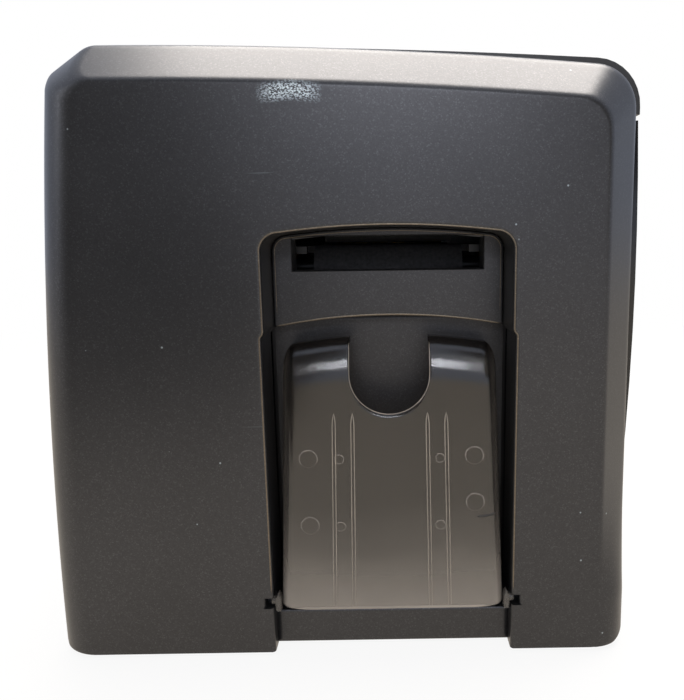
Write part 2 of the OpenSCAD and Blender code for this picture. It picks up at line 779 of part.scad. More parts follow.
module frame_outline() {
    difference() {
        union() {
            translate([frame_left, pan_top]) square([frame_right - frame_left, frame_top - pan_top]);
            translate([hopper_left - 3, frame_top - 1]) square([frame_right - hopper_left + 3, 14]);
        }
        for (share = bay_shares) translate([frame_left + share * frame_run, (bay_low + bay_high) / 2])
            round_rect(bay_w, bay_high - bay_low, 6);
        for (x = shaft_places) translate([x, roller_z]) circle(shaft_r + bush_wall);
        for (x = [transport_x, exit_x]) translate([x, pinch_z]) {
            circle(2.05);
            translate([-2.05, 0]) square([4.1, 3]);
            translate([0, 3]) circle(2.05);
        }
        translate([take_up_x, spool_z]) circle(hub_r + 0.05);
    }
}

frame_run = frame_right - frame_left;
bay_shares = [0.191, 0.381, 0.57, 0.76, 0.909];
bay_w = 0.1354 * frame_run;
bay_low = pan_top + 19;
bay_high = roller_z - 43.5;
bush_wall = 1.5;
bush_flange = 1;
flange_foot = 12;

module front_frame() {
    color("lightgray") {
        along_y(frame_front - plate_t, plate_t) frame_outline();
        difference() {
            block([frame_left, frame_front - plate_t - flange_foot, pan_top],
                [frame_right - frame_left, flange_foot + 1, plate_t]);
            for (x = frame_screw_x)
                rod_z(x, frame_front - plate_t - flange_foot / 2, pan_top - 1, 4, screw_r);
        }
    }
}

frame_screw_x = [-110, 0, 110];
frame_screw_y = [frame_front - plate_t - flange_foot / 2, frame_rear + plate_t + flange_foot / 2];

module rear_frame() {
    color("lightgray") {
        along_y(frame_rear, plate_t) difference() {
            frame_outline();
            for (p = post_places) translate(p) circle(1.5);
        }
        difference() {
            block([frame_left, frame_rear + plate_t - 1, pan_top],
                [frame_right - frame_left, flange_foot + 1, plate_t]);
            for (x = frame_screw_x)
                rod_z(x, frame_rear + plate_t + flange_foot / 2, pan_top - 1, 4, screw_r);
        }
    }
}

module screw_down(x, y, z) {
    translate([x, y, z]) rotate_extrude()
        polygon([[0, -3], [screw_r - 0.02, -3], [screw_r - 0.02, 0], [3, 0], [3, 1], [2, 2], [0, 2]]);
}

module chassis_screws() {
    color("silver") for (x = frame_screw_x, y = frame_screw_y) screw_down(x, y, pan_top + plate_t);
}

module cover_screws() {
    color("silver") for (side = [0, 1]) mirror([side, 0, 0]) for (p = end_screws) {
        rod_x(-shell_x + plate_t, 2, p[0], p[1], 3);
        rod_x(-shell_x - 5, plate_t + 5, p[0], p[1], screw_r - 0.02);
    }
}

// Web at both ends of a long cover, between two of its lines, with the end covers' screw holes
module end_webs(ring, side) {
    for (x = [-shell_x, shell_x - plate_t]) difference() {
        along_x(x, plate_t) polygon(ring);
        for (p = end_screws) if (p[0] * side > 0) rod_x(x - 1, plate_t + 2, p[0], p[1], screw_r);
    }
}

tie_z = bay_low + 36;
tie_places = [[frame_left + 4.5, tie_z], [frame_left + 32.5, tie_z], [hopper_left - 16.5, path_z + 18.5],
    [frame_right - 9, path_z - 21.5]];

module tie_bars() {
    color("silver") for (p = tie_places) rod_y(p[0], p[1], frame_front, 2 * frame_half, 3.5);
}

module card_guides() {
    color([0.16, 0.16, 0.17]) for (s = [-1, 1]) difference() {
        // channel rail with a lead-in at each end, cut away round the rollers
        along_y(s > 0 ? path_y + card_width / 2 + 2 : frame_front, frame_half - card_width / 2 - 2)
            polygon([[frame_left + 2, path_z - 3], [hopper_left - 4, path_z - 3],
                [hopper_left - 4, path_z - 0.5],
                [frame_left + 2, path_z - 0.5]]);
        for (x = [cleaning_x, transport_x, exit_x, head_x])
            block([x - 11, path_y - 50, path_z - 6], [22, 100, 10]);
    }
}

module bush(x, z) {
    for (s = [-1, 1]) difference() {
        union() {
            rod_y(x, z, s > 0 ? frame_rear : frame_front - plate_t, plate_t, shaft_r + bush_wall - 0.02);
            rod_y(x, z, s > 0 ? frame_rear - bush_flange : frame_front, bush_flange,
                shaft_r + bush_wall + 1.5);
        }
        rod_y(x, z, s > 0 ? frame_rear - 3 : frame_front - 5, 10, shaft_r + 0.04);
    }
}

module shaft_bushes() {
    color("goldenrod") {
        for (x = shaft_places) bush(x, roller_z);
    }
}

// ---------- rollers ----------

// Rubber sleeve of a driven roller
module sleeve(x, z, r) {
    difference() {
        rod_y(x, z, path_y - roller_half, 2 * roller_half, r);
        rod_y(x, z, path_y - roller_half - 1, 2 * roller_half + 2, shaft_r);
    }
}

// Shaft with the flanged belt pulley behind the rear frame
module driven_shaft(x, z) {
    rod_y(x, z, frame_front - plate_t - 3, belt_y + belt_w + 1 - frame_front + plate_t + 3, shaft_r);
    rod_y(x, z, belt_y, belt_w, pulley_r);
    rod_y(x, z, belt_y - 1, 1, pulley_r + 2);
    rod_y(x, z, belt_y + belt_w, 1, pulley_r + 2);
}

module pick_roller() { color("gray") sleeve(pick_x, roller_z, roller_r - 0.5); }
module pick_shaft() { color("silver") driven_shaft(pick_x, roller_z); }
module cleaning_roller() { color("gray") sleeve(cleaning_x, roller_z, roller_r); }
module cleaning_shaft() { color("silver") driven_shaft(cleaning_x, roller_z); }
module platen_roller() { color("gray") sleeve(head_x, roller_z, roller_r); }

module platen_shaft() {
    color("silver") {
        driven_shaft(head_x, roller_z);
        rod_y(head_x, roller_z, belt_y + belt_w, gear_y + 1.5 - belt_y, shaft_r);
        along_y(gear_y, gear_w) translate([head_x, roller_z]) rotate(-90)
            polygon(gear_points(platen_teeth, gear_module));
    }
}

module transport_roller() { color("gray") sleeve(transport_x, roller_z, roller_r); }
module transport_shaft() { color("silver") driven_shaft(transport_x, roller_z); }
module exit_roller() { color("gray") sleeve(exit_x, roller_z, roller_r); }
module exit_shaft() { color("silver") driven_shaft(exit_x, roller_z); }

module pinch(x) {
    rod_y(x, pinch_z, frame_front - plate_t - 2, 2 * frame_half + 2 * plate_t + 4, 2);
    rod_y(x, pinch_z, path_y - roller_half + 4, 2 * roller_half - 8, pinch_r);
}

module transport_pinch() { color("gray") pinch(transport_x); }
module exit_pinch() { color("gray") pinch(exit_x); }

// Leaf springs that press the pinch shafts down
module pinch_springs() {
    color("silver") for (x = [transport_x, exit_x],
        y = [frame_front - plate_t - 1.6, frame_rear + plate_t + 0.4])
        along_y(y, 1.2) polygon([[x - 14, pinch_z + 9], [x - 12, pinch_z + 9], [x - 3, pinch_z + 2.3],
            [x + 3, pinch_z + 2.3], [x + 3, pinch_z + 3], [x - 2.6, pinch_z + 3], [x - 11, pinch_z + 11],
            [x - 14, pinch_z + 11]]);
}

module stadium(x0, x1, z, r) {
    translate([x0, z]) circle(r);
    translate([x1, z]) circle(r);
    translate([x0, z - r]) square([x1 - x0, 2 * r]);
}

module drive_belt() {
    color([0.1, 0.1, 0.1]) along_y(belt_y + 0.3, belt_w - 0.6) difference() {
        stadium(exit_x, pick_x, roller_z, pulley_r + belt_clear + belt_t);
        stadium(exit_x, pick_x, roller_z, pulley_r + belt_clear);
    }
}

// ---------- motors and gears ----------

bracket_left = take_up_x - 39;
bracket_right = head_x + 35;
bracket_low = card_motor_z - 23.9;
bracket_top = spool_z + 8;
post_places = [[bracket_left + 7, bracket_low + 10], [bracket_right - 7, bracket_low + 10],
    [bracket_left + 7, spool_z], [bracket_right - 7, spool_z - 8]];

module motor_bracket() {
    color("lightgray") {
        along_y(bracket_y, plate_t) difference() {
            translate([bracket_left, bracket_low])
                square([bracket_right - bracket_left, bracket_top - bracket_low]);
            translate([head_x, card_motor_z]) circle(11);
            translate([ribbon_motor_x, ribbon_motor_z]) circle(8);
            translate([head_x, roller_z]) circle(4);
            translate([take_up_x, spool_z]) circle(hub_r + 0.05);
        }
        for (p = post_places) rod_y(p[0], p[1], frame_rear + plate_t, bracket_y - frame_rear - plate_t, 3);
    }
}

// Square stepper motor with cut corners, its boss turned to the front
module motor(x, z, size, depth, boss) {
    along_y(bracket_y + plate_t, depth) translate([x, z]) intersection() {
        square(size, center = true);
        rotate(45) square(size * 1.24, center = true);
    }
    rod_y(x, z, bracket_y, plate_t + 1, boss);
}

module card_motor() { color([0.2, 0.2, 0.21]) motor(head_x, card_motor_z, 42, 34, 10.9); }
module ribbon_motor() { color([0.2, 0.2, 0.21]) motor(ribbon_motor_x, ribbon_motor_z, 28, 30, 7.9); }

module card_pinion() {
    color("gold") along_y(gear_y, gear_w) translate([head_x, card_motor_z]) rotate(90 + 180 / card_teeth)
        polygon(gear_points(card_teeth, gear_module));
    color("gold") rod_y(head_x, card_motor_z, gear_y + gear_w, bracket_y - gear_y - gear_w - 0.3, 2.5);
}

module ribbon_pinion() {
    color("gold") along_y(gear_y, gear_w) translate([ribbon_motor_x, ribbon_motor_z])
        rotate(ribbon_gear_angle + 180 + 180 / ribbon_teeth)
            polygon(gear_points(ribbon_teeth, gear_module));
    color("gold") rod_y(ribbon_motor_x, ribbon_motor_z, gear_y + gear_w,
        bracket_y - gear_y - gear_w - 0.3, 2);
}

module take_up_gear() {
    color("whitesmoke") {
        along_y(gear_y, gear_w) translate([take_up_x, spool_z]) rotate(ribbon_gear_angle)
            polygon(gear_points(take_up_teeth, gear_module));
        rod_y(take_up_x, spool_z, frame_rear - 3.5, gear_y - frame_rear + 3.5, hub_r);
        rod_y(take_up_x, spool_z, gear_y + gear_w - 1, 4.6, hub_r);
    }
}

// ---------- ribbon ----------

hub_r = 4;
cart_half = frame_half - 1.2;
web_z = path_z + 0.4;

module cartridge_side() {
    difference() {
        union() {
            translate([take_up_x, spool_z]) circle(17);
            translate([supply_x, spool_z]) circle(19);
            translate([take_up_x - 17, path_z + 6]) square([supply_x - take_up_x + 34, 7]);
            translate([take_up_x - 9, path_z + 6]) square([18, spool_rise]);
            translate([supply_x - 9, path_z + 6]) square([18, spool_rise]);
        }
        translate([take_up_x, spool_z]) circle(5.3);
        translate([supply_x, spool_z]) circle(5.3);
    }
}

cart_bars = [[take_up_x - 3, path_z + 9.5], [supply_x + 8, path_z + 9.5]];

module ribbon_cartridge() {
    color("white") {
        along_y(path_y - cart_half, 2) cartridge_side();
        along_y(path_y + cart_half - 2, 2) cartridge_side();
        for (p = cart_bars) rod_y(p[0], p[1], path_y - cart_half + 1, 2 * cart_half - 2, 2.5);
        // ears that lie on the frames
        for (x = [take_up_x - 10, take_up_x + 4, supply_x - 10, supply_x + 4], s = [-1, 1])
            block([x, path_y + s * (frame_half + 0.7) - 3.5, frame_top], [6, 7, 3]);
        // handle across the supply end
        rod_y(supply_x + 17, spool_z + 6, path_y - cart_half + 1, 2 * cart_half - 2, 3);
    }
}

module spool(x, r) {
    difference() {
        union() {
            rod_y(x, spool_z, path_y - cart_half - 0.6, 2 * cart_half + 1.2, 5);
            rod_y(x, spool_z, path_y - roller_half - 3, 2 * roller_half + 6, 6);
            rod_y(x, spool_z, path_y - roller_half, 2 * roller_half, r);
        }
        rod_y(x, spool_z, path_y + cart_half - 3, 8, hub_r + 0.3);
        rod_y(x, spool_z, path_y - cart_half - 3, 6, 3);
    }
}

module supply_spool() { color("goldenrod") spool(supply_x, supply_r); }
module take_up_spool() { color("goldenrod") spool(take_up_x, take_up_r); }

film_t = 0.25;

// Points of the film: off the take-up roll, under the guide bars and the head, and on to the supply roll
film_path = [
    [take_up_x - take_up_r - 0.6, spool_z], [take_up_x - take_up_r + 1, web_z + 6], [head_x - 16, web_z],
    [head_x + 16, web_z], [supply_x + supply_r - 3, web_z + 6], [supply_x + supply_r + 0.6, spool_z]
];

module ribbon_film() {
    color("yellow") along_y(path_y - roller_half + 1, 2 * roller_half - 2) polygon(concat(
        film_path, reversed([for (p = film_path) p + [p[0] < head_x ? -film_t : film_t, -film_t]])));
}

// ---------- print head in the top cover ----------

module head_bracket() {
    color("lightgray") difference() {
        union() {
            block([head_x - 29, path_y - 35, head_top_z - plate_t], [58, 70, plate_t]);
            for (s = [-1, 1])
                block([head_x - 11, path_y + s * 28 - 1, path_z + 16], [22, 2, head_top_z - path_z - 16]);
        }
        for (x = head_screw_x, y = head_screw_y) rod_z(x, y, head_top_z - 5, 10, 1.6);
    }
}

module print_head() {
    color([0.25, 0.25, 0.26]) difference() {
        union() {
            block([head_x - 9, path_y - 26.8, path_z + 9], [18, 53.6, 16]);
            along_y(path_y - 26.8, 53.6) polygon([[head_x - 8, path_z + 9.5], [head_x - 3, path_z + 1.2],
                [head_x + 3, path_z + 1.2], [head_x + 8, path_z + 9.5]]);
        }
        for (i = [-2 : 2]) block([head_x - 10, path_y - 0.9 + i * 9, path_z + 14], [20, 5, 12]);
    }
}

catch_y = front_y + 17;
catch_z = release_z - 2;
catch_nose = 2.6;
slide_z = release_z + 3;

// Catch that hangs from the top cover, its nose turned to the rear
module lid_catch() {
    color([0.16, 0.16, 0.17]) {
        along_x(release_x - 6, 12) polygon([
            [catch_y, catch_z], [catch_y + 4, catch_z], [catch_y + 4 + catch_nose, catch_z + 2],
            [catch_y + 4 + catch_nose, slide_z - 0.5], [catch_y + 4, slide_z - 0.5], [catch_y + 4,
                body_height - 14],
            [catch_y + 12, body_height - 14], [catch_y + 12,
                crown_line(catch_y + 12, shell_wall + 0.1, lid_crown_r)],
            [catch_y, crown_line(catch_y, shell_wall + 0.1, lid_crown_r)]
        ]);
    }
}

// Release button with the slide that runs round the catch to behind its nose
module release_button() {
    nose_y = catch_y + 4 + catch_nose;
    color([0.3, 0.3, 0.31]) {
        block([release_x - release_w / 2, front_y + 0.6, release_z - release_h / 2],
            [release_w, 4, release_h]);
        block([release_x - release_w / 2 - 2, front_y + 4.4, release_z - release_h / 2],
            [release_w + 4, 2, release_h]);
        difference() {
            block([release_x - release_w / 2, front_y + 4, slide_z],
                [release_w, nose_y + 4 - front_y - 4, 1.6]);
            block([release_x - 8, catch_y - 3, slide_z - 1], [16, nose_y + 0.3 - catch_y + 3, 4]);
        }
    }
}

// ---------- hopper ----------

module hopper_bin() {
    color([0.2, 0.2, 0.21]) {
        difference() {
            block([hopper_left - plate_t, path_y - frame_half, path_z - plate_t],
                [hopper_right - hopper_left + plate_t, 2 * frame_half, plate_t]);
            block([pick_x - 10, path_y - roller_half - 1, path_z - 5], [20, 2 * roller_half + 2, 10]);
            rod_z(pusher_x, rod_y_place, path_z - 5, 10, rod_r - 0.01);
        }
        difference() {
            for (s = [-1, 1])
                block([hopper_left - plate_t, path_y + s * (hopper_half + plate_t / 2) - plate_t / 2,
                path_z - 1],
                [frame_right - hopper_left, plate_t, hopper_h + 1]);
            block([pusher_x - 5.5, path_y + 20, path_z], [11, 12, hopper_h - 6]);
        }
        // gate wall, with the card gap under it
        difference() {
            block([hopper_left - plate_t, path_y - hopper_half - 1, path_z - 1],
                [plate_t, 2 * hopper_half + 2, hopper_h + 1]);
            block([hopper_left - plate_t - 1, path_y - hopper_half, path_z],
                [plate_t + 2, 2 * hopper_half, 1.3]);
        }
        // upper ear of the pusher's rod
        difference() {
            block([pusher_x - 6, path_y + hopper_half + 1, path_z + hopper_h - 4],
                [12, frame_half - hopper_half - 1.25, 4]);
            rod_z(pusher_x, rod_y_place, path_z, hopper_h + 5, rod_r - 0.01);
        }
    }
}

rod_r = 2;

module pusher_rod() {
    color("silver") rod_z(pusher_x, rod_y_place, path_z - plate_t, hopper_h + plate_t, rod_r - 0.03);
}

pusher_z = path_z + 0.3;

module card_pusher() {
    color([0.45, 0.45, 0.47]) difference() {
        union() {
            block([hopper_left + 6, path_y - 24, pusher_z], [66, 48, 3]);
            block([pusher_x - 5, path_y + 20, pusher_z], [10, rod_y_place - path_y - 20 + 3.8, 8]);
            block([pusher_x - 20, path_y - 6, pusher_z], [12, 12, 10]);
        }
        rod_z(pusher_x, rod_y_place, path_z - 5, 40, rod_r + 0.05);
    }
}

module hopper_door() {
    color([0.3, 0.3, 0.3, 0.7]) difference() {
        union() {
            along_y(path_y - door_half + 0.6, 2 * door_half - 1.2) {
                translate([door_axis_x, door_axis_z]) circle(door_pin_r + 1.1);
                translate([face_x - 2.6, door_axis_z]) square([2.4, door_h - 4]);
            }
            // side walls of the door
            for (s = [-1, 1]) along_y(path_y + s * (door_half - 2) - 0.9, 1.8)
                polygon([[face_x - 1, door_axis_z + 2], [face_x - 1, door_axis_z + door_h - 6],
                    [face_x - 5, door_axis_z + door_h - 8], [face_x - 5, door_axis_z + 12], [face_x - 3,
                        door_axis_z + 3]]);
        }
        rod_y(door_axis_x, door_axis_z, path_y - door_half, 2 * door_half, door_pin_r + 0.05);
        // finger notch in the top edge
        along_x(face_x - 8, 12) translate([path_y, door_z + door_h - 1]) circle(9);
    }
}

// ---------- front controls ----------

board_front = front_y + 12;

module display_module() {
    color([0.1, 0.35, 0.2]) block([window_x - 38, board_front, window_z - 18], [112, 1.6, 36]);
    color([0.6, 0.65, 0.6]) block([window_x - window_w / 2, front_y + 5.5, window_z - window_h / 2],
        [window_w, board_front - front_y - 5.5, window_h]);
    // key switches behind the buttons
    color("black") for (x = button_x) rod_y(x, button_z, front_y + 8 + button_travel + 0.4,
        board_front - front_y - 8.4 - button_travel, 2.5);
}

module display_lens() {
    color([0.1, 0.12, 0.15])
        block([window_x - window_w / 2 + 0.05, front_y + 0.9, window_z - window_h / 2 + 0.05],
        [window_w - 0.1, 1.8, window_h - 0.1]);
}

// Round button with a flange that the panel keeps in
module round_button(x) {
    color([0.7, 0.7, 0.7]) {
        rod_y(x, button_z, front_y, 8, button_r);
        rod_y(x, button_z, front_y + 3.5, 1.2, button_r + 1.2);
    }
}

module pause_button() { round_button(button_x[0]); }
module feed_button() { round_button(button_x[1]); }

module status_light() {
    color([0.3, 0.9, 0.4]) for (x = light_x)
        rod_y(x, light_z, front_y + 0.3, board_front - front_y - 0.3, 1.5);
}

// ---------- electronics and power ----------

board_w = 150;
board_y = frame_rear + 19.1;
board_d = rear_y - 10 - board_y;
board_z = pan_top + 5;

module main_board() {
    color([0.1, 0.4, 0.2]) {
        block([board_x, board_y, board_z], [board_w, board_d, 1.6]);
        for (x = [board_x + 6, board_x + board_w - 6], y = [board_y + 6, board_y + board_d - 12])
            rod_z(x, y, pan_top, board_z - pan_top, 2.5);
    }
    color("black") {
        block([board_x + 20, board_y + 12, board_z + 1.6], [24, 24, 2.4]);
        block([board_x + 60, board_y + 8, board_z + 1.6], [12, 12, 2]);
        block([board_x + 100, board_y + 4, board_z + 1.6], [34, 8, 7]);
    }
    color("silver") {
        socket(usb_x, 12, 11);
        socket(ethernet_x, 16, 12.4);
    }
}

// Metal-cased socket at the board's rear edge, its mouth open to the rear
module socket(x, w, h) {
    difference() {
        block([x - w / 2, rear_y - 18, board_z + 1.6], [w, 17, h]);
        block([x - w / 2 + 1.5, rear_y - 13, board_z + 3.1], [w - 3, 20, h - 3]);
    }
}

supply_box_y = frame_rear + 16.1;
supply_box_d = rear_y - 27 - supply_box_y;
supply_box_h = 44;

module power_supply() {
    color("silver") difference() {
        block([supply_box_x, supply_box_y, pan_top], [78, supply_box_d, supply_box_h]);
        // vent slots in its lid
        for (i = [0 : 8])
            block([supply_box_x + 6 + i * 7.6, supply_box_y + 5, pan_top + supply_box_h - 3],
                [3.6, supply_box_d - 10, 5]);
    }
}

// Appliance inlet and the frame of the rocker switch, both held behind the rear wall
module power_inlet() {
    color("black") difference() {
        union() {
            block([inlet_x - 14.8, rear_y - 26, inlet_z - 11.8], [29.6, 25.4, 23.6]);
            block([inlet_x - 18, rear_y - 6, inlet_z - 14], [36, 2.4, 28]);
        }
        block([inlet_x - 11, rear_y - 18, inlet_z - 7.5], [22, 22, 15]);
    }
    color("silver") for (p = [[-5, -2], [5, -2], [0, 3]])
        block([inlet_x + p[0] - 1, rear_y - 18.5, inlet_z + p[1] - 2], [2, 14, 4]);
    color("black") difference() {
        union() {
            block([switch_x - 6.3, rear_y - 20, inlet_z - 9.3], [12.6, 19.4, 18.6]);
            block([switch_x - 8, rear_y - 6, inlet_z - 11], [16, 2.4, 22]);
        }
        block([switch_x - 5.2, rear_y - 14, inlet_z - 8.5], [10.4, 20, 17]);
        rod_x(switch_x - 6.1, 12.2, rocker_y, inlet_z, rocker_pin_r + 0.05);
    }
}

rocker_y = rear_y - 7;
rocker_tilt = 8;
rocker_pin_r = 1.2;

// Rocker of the mains switch, drawn with its lower end pressed
module rocker_switch() {
    color([0.12, 0.12, 0.12]) translate([0, rocker_y, inlet_z]) rotate([-rocker_tilt, 0, 0])
        along_x(switch_x - 4.9, 9.8)
            polygon([[-4, -3], [2, -7.4], [5.2, -7.4], [3.8, 0], [5.2, 7.4], [2, 7.4], [-4, 3]]);
    // its pivot pin
    color([0.12, 0.12, 0.12]) rod_x(switch_x - 5.9, 11.8, rocker_y, inlet_z, rocker_pin_r);
}

module cooling_fan() {
    color([0.12, 0.12, 0.12]) {
        difference() {
            block([fan_x - fan_size / 2, fan_y, fan_z - fan_size / 2], [fan_size, 10, fan_size]);
            rod_y(fan_x, fan_z, fan_y - 1, 12, fan_size / 2 - 1.5);
        }
        rod_y(fan_x, fan_z, fan_y, 1.5, 11);
        for (a = [45, 135]) translate([fan_x, fan_y, fan_z]) rotate([0, a, 0])
            block([-fan_size / 2 + 1, 0, -1.2], [fan_size - 2, 1.5, 2.4]);
    }
}

module fan_rotor() {
    color([0.15, 0.15, 0.15]) {
        rod_y(fan_x, fan_z, fan_y + 1.8, 7.7, 10);
        for (a = [0 : 360 / 7 : 359]) translate([fan_x, fan_y + 5.5, fan_z]) rotate([0, a, 0])
            rotate([0, 0, 0]) translate([9, 0, 0]) rotate([35, 0, 0])
                translate([0, -0.6, -4]) cube([fan_size / 2 - 1.5 - 9 - 1.2, 1.2, 8]);
    }
}

left_end_cover();
right_end_cover();
top_cover();
front_panel();
rear_cover();
base_pan();
rubber_feet();
chassis_screws();
cover_screws();
hinge_pins();
output_tray();
exit_bezel();
hopper_bin();
hopper_door();
card_pusher();
pusher_rod();
front_frame();
rear_frame();
tie_bars();
card_guides();
shaft_bushes();
pick_roller();
pick_shaft();
cleaning_roller();
cleaning_shaft();
platen_roller();
platen_shaft();
transport_roller();
transport_shaft();
exit_roller();
exit_shaft();
transport_pinch();
exit_pinch();
pinch_springs();
drive_belt();
motor_bracket();
card_motor();
card_pinion();
ribbon_motor();
ribbon_pinion();
take_up_gear();
ribbon_cartridge();
supply_spool();
take_up_spool();
ribbon_film();
head_bracket();
print_head();
lid_catch();
release_button();
display_module();
display_lens();
pause_button();
feed_button();
status_light();
main_board();
power_supply();
power_inlet();
rocker_switch();
cooling_fan();
fan_rotor();
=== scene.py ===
import json
import math

import bmesh
import bpy
import numpy as np
from mathutils import Matrix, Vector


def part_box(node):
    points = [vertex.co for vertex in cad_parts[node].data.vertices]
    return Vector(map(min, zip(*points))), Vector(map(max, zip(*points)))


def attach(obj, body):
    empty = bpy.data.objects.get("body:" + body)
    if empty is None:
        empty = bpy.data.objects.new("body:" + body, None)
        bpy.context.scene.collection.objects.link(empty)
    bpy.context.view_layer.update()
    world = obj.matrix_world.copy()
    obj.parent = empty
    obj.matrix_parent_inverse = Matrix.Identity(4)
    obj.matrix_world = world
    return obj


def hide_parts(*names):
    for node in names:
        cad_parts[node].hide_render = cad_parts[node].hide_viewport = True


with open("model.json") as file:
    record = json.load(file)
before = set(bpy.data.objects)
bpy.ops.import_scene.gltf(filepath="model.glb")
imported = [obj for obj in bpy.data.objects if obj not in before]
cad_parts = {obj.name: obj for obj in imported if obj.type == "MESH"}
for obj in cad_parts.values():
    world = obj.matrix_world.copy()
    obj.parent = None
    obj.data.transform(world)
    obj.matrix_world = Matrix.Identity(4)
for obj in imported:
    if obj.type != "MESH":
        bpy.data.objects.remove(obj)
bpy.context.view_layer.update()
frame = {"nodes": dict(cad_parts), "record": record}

bl_info = {
    "name": "Id card printer looks",
    "version": (1, 0, 0),
    "blender": (4, 5, 0),
    "location": "3D View > Sidebar > Card Printer",
    "description": "Moulded covers, smoky card tray, finishes and stage for a desktop id card printer",
    "category": "Object",
}

MM = 0.001


# ---------- places and sizes in millimetres, read from the frame where a node gives them ----------


def box_mm(node):
    """The low and the high corner of a node's box."""
    return [[value / MM for value in corner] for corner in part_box(node)]


COVER_LOW, COVER_HIGH = box_mm("left_end_cover")
TRAY_LOW, TRAY_HIGH = box_mm("output_tray")
FACE_X = -COVER_LOW[0]
FOOT = COVER_LOW[2]
REAR_Y, CROWN_Z = COVER_HIGH[1], COVER_HIGH[2]
PATH_Y = (TRAY_LOW[1] + TRAY_HIGH[1]) / 2

# the end covers: bowed rear edge, falling crown, chamfer between them, leaning front edge
REAR_BOW_R = 1560
CROWN_R = 1811
FRONT_Y = -REAR_Y + 0.9
FRONT_LEAN = 2.6
CHAMFER_IN = 25
CHAMFER_DROP = 9
CHAMFER_SOFT = 2.5
CROWN_Y = REAR_Y - CHAMFER_IN
CORNER_R = 14
LOW_CORNER_R = 15
TIGHT_R = 4
REAR_R = 14
EDGE_SOFT = 1.6
SEAM_DEPTH = 14.5
WALL = 2.3

# the recess in the left one: its step outward, arch, pivot notches, exit panel, lip and sill
RECESS_HALF = 39.4
STEP_OUT = 1.1
STEP_Z = 110.5
STEP_TALL = 2
ARCH_Z = 143.1
ARCH_RISE = 2.1
ARCH_R = 5.5
NOTCH_LOW, NOTCH_HIGH = 17.7, 21.6
NOTCH_IN = 5.9
NOTCH_OUT = 2.8
PANEL_IN = 19.6
PANEL_R = 0.7
LIP_Z = 111.8
LIP_RISE = 3.7
SLOT_HALF = 32.5
SLOT_LOW, SLOT_HIGH = 131.0, 142.5
POCKET_HALF = 40.5
POCKET_IN = 27.0
SILL_IN = 6.0
SILL_Z = 14.0

# the card tray: its taper to the top, lean, rounds, rolled top, arched edge, thumb notch and ribs
TRAY_FRONT_X = FACE_X - 1
TRAY_Z = TRAY_LOW[2]
TRAY_HALF = 38.2
TRAY_TAPER = 2.4
TRAY_TALL = 93.5
TRAY_LEAN = 5.0
TRAY_TOP = TRAY_Z + TRAY_TALL
FLAT_HALF = 34.0
SIDE_R = 4.2
TOP_R = 8.5
FOOT_R = 2.6
ROLL_TALL = 14.0
TRAY_ARCH = 0.0026
THUMB_R = 13.2
THUMB_Z = TRAY_TOP - 25 + THUMB_R
RIB_TIP = THUMB_Z - THUMB_R + 0.5
RIBS = (-19.6, -13.1, 13.1, 19.6)
TRAY_TILT = math.atan2(TRAY_LEAN, TRAY_TALL)
TRAY_OUT = np.array([-math.cos(TRAY_TILT), 0, math.sin(TRAY_TILT)])
FACE_OUT = np.array([-1.0, 0.0, 0.0])

# the circuit board's upper side, and where the sockets at its rear begin
BOARD_TOP = 11.65
SOCKETS_Y = REAR_Y - 18.5

# points up each side of an edge, of which some lie on its foot, in each corner and along the top
SIDE_COUNT = 96
FOOT_COUNT = 23
CORNER_COUNT = 18
TOP_COUNT = 61


# ---------- curves ----------


def columns(*values):
    """Points from their coordinates, where a single number is the same for all of them."""
    return np.stack(np.broadcast_arrays(*values), -1)


def quarter(count):
    """The evenly stepped angles of a quarter turn."""
    return np.radians(np.linspace(0, 90, count))


def fallen(share):
    """How far a round of radius one has fallen back at a share of its reach: one less the root of
    one less the share's square."""
    return 1 - np.sqrt(1 - share * share)


def arc(centre, radius, start, end, count):
    """Points of a circle arc: centre plus radius times cosine and sine of an evenly stepped angle
    in degrees."""
    a = np.radians(np.linspace(start, end, count))
    return columns(centre[0] + radius * np.cos(a), centre[1] + radius * np.sin(a))


def turn(a, b, c, count):
    """A rounded corner as a quadratic curve from a to c, pulled towards the corner b."""
    t = np.linspace(0, 1, count)[:, None]
    return (1 - t) ** 2 * np.array(a) + 2 * t * (1 - t) * np.array(b) + t**2 * np.array(c)


def line(a, b, count):
    """Evenly spaced points from a to b."""
    t = np.linspace(0, 1, count)[:, None]
    return (1 - t) * np.array(a, float) + t * np.array(b, float)


def spaced(points, count):
    """The same path again with its points an equal length apart, from the running sum of its steps."""
    step = np.hypot(*np.diff(points, axis=0).T)
    run = np.concatenate([[0], np.cumsum(step)])
    at = np.linspace(0, run[-1], count)
    return columns(*(np.interp(at, run, axis) for axis in points.T))


# ---------- the end covers' outline ----------


def rear_at(z, inset):
    """The rear edge bows: its distance from the middle falls with the square of the height."""
    return REAR_Y - inset - (z - FOOT) ** 2 / (2 * REAR_BOW_R)


def crown_at(y, inset):
    """The top edge falls to the front with the square of the distance from the crown's start."""
    return CROWN_Z - inset - np.maximum(CROWN_Y - y, 0) ** 2 / (2 * CROWN_R)


def front_at(z, inset):
    """The front edge leans outward in a straight line."""
    return FRONT_Y + inset + FRONT_LEAN * (z - FOOT) / (CROWN_Z - FOOT)


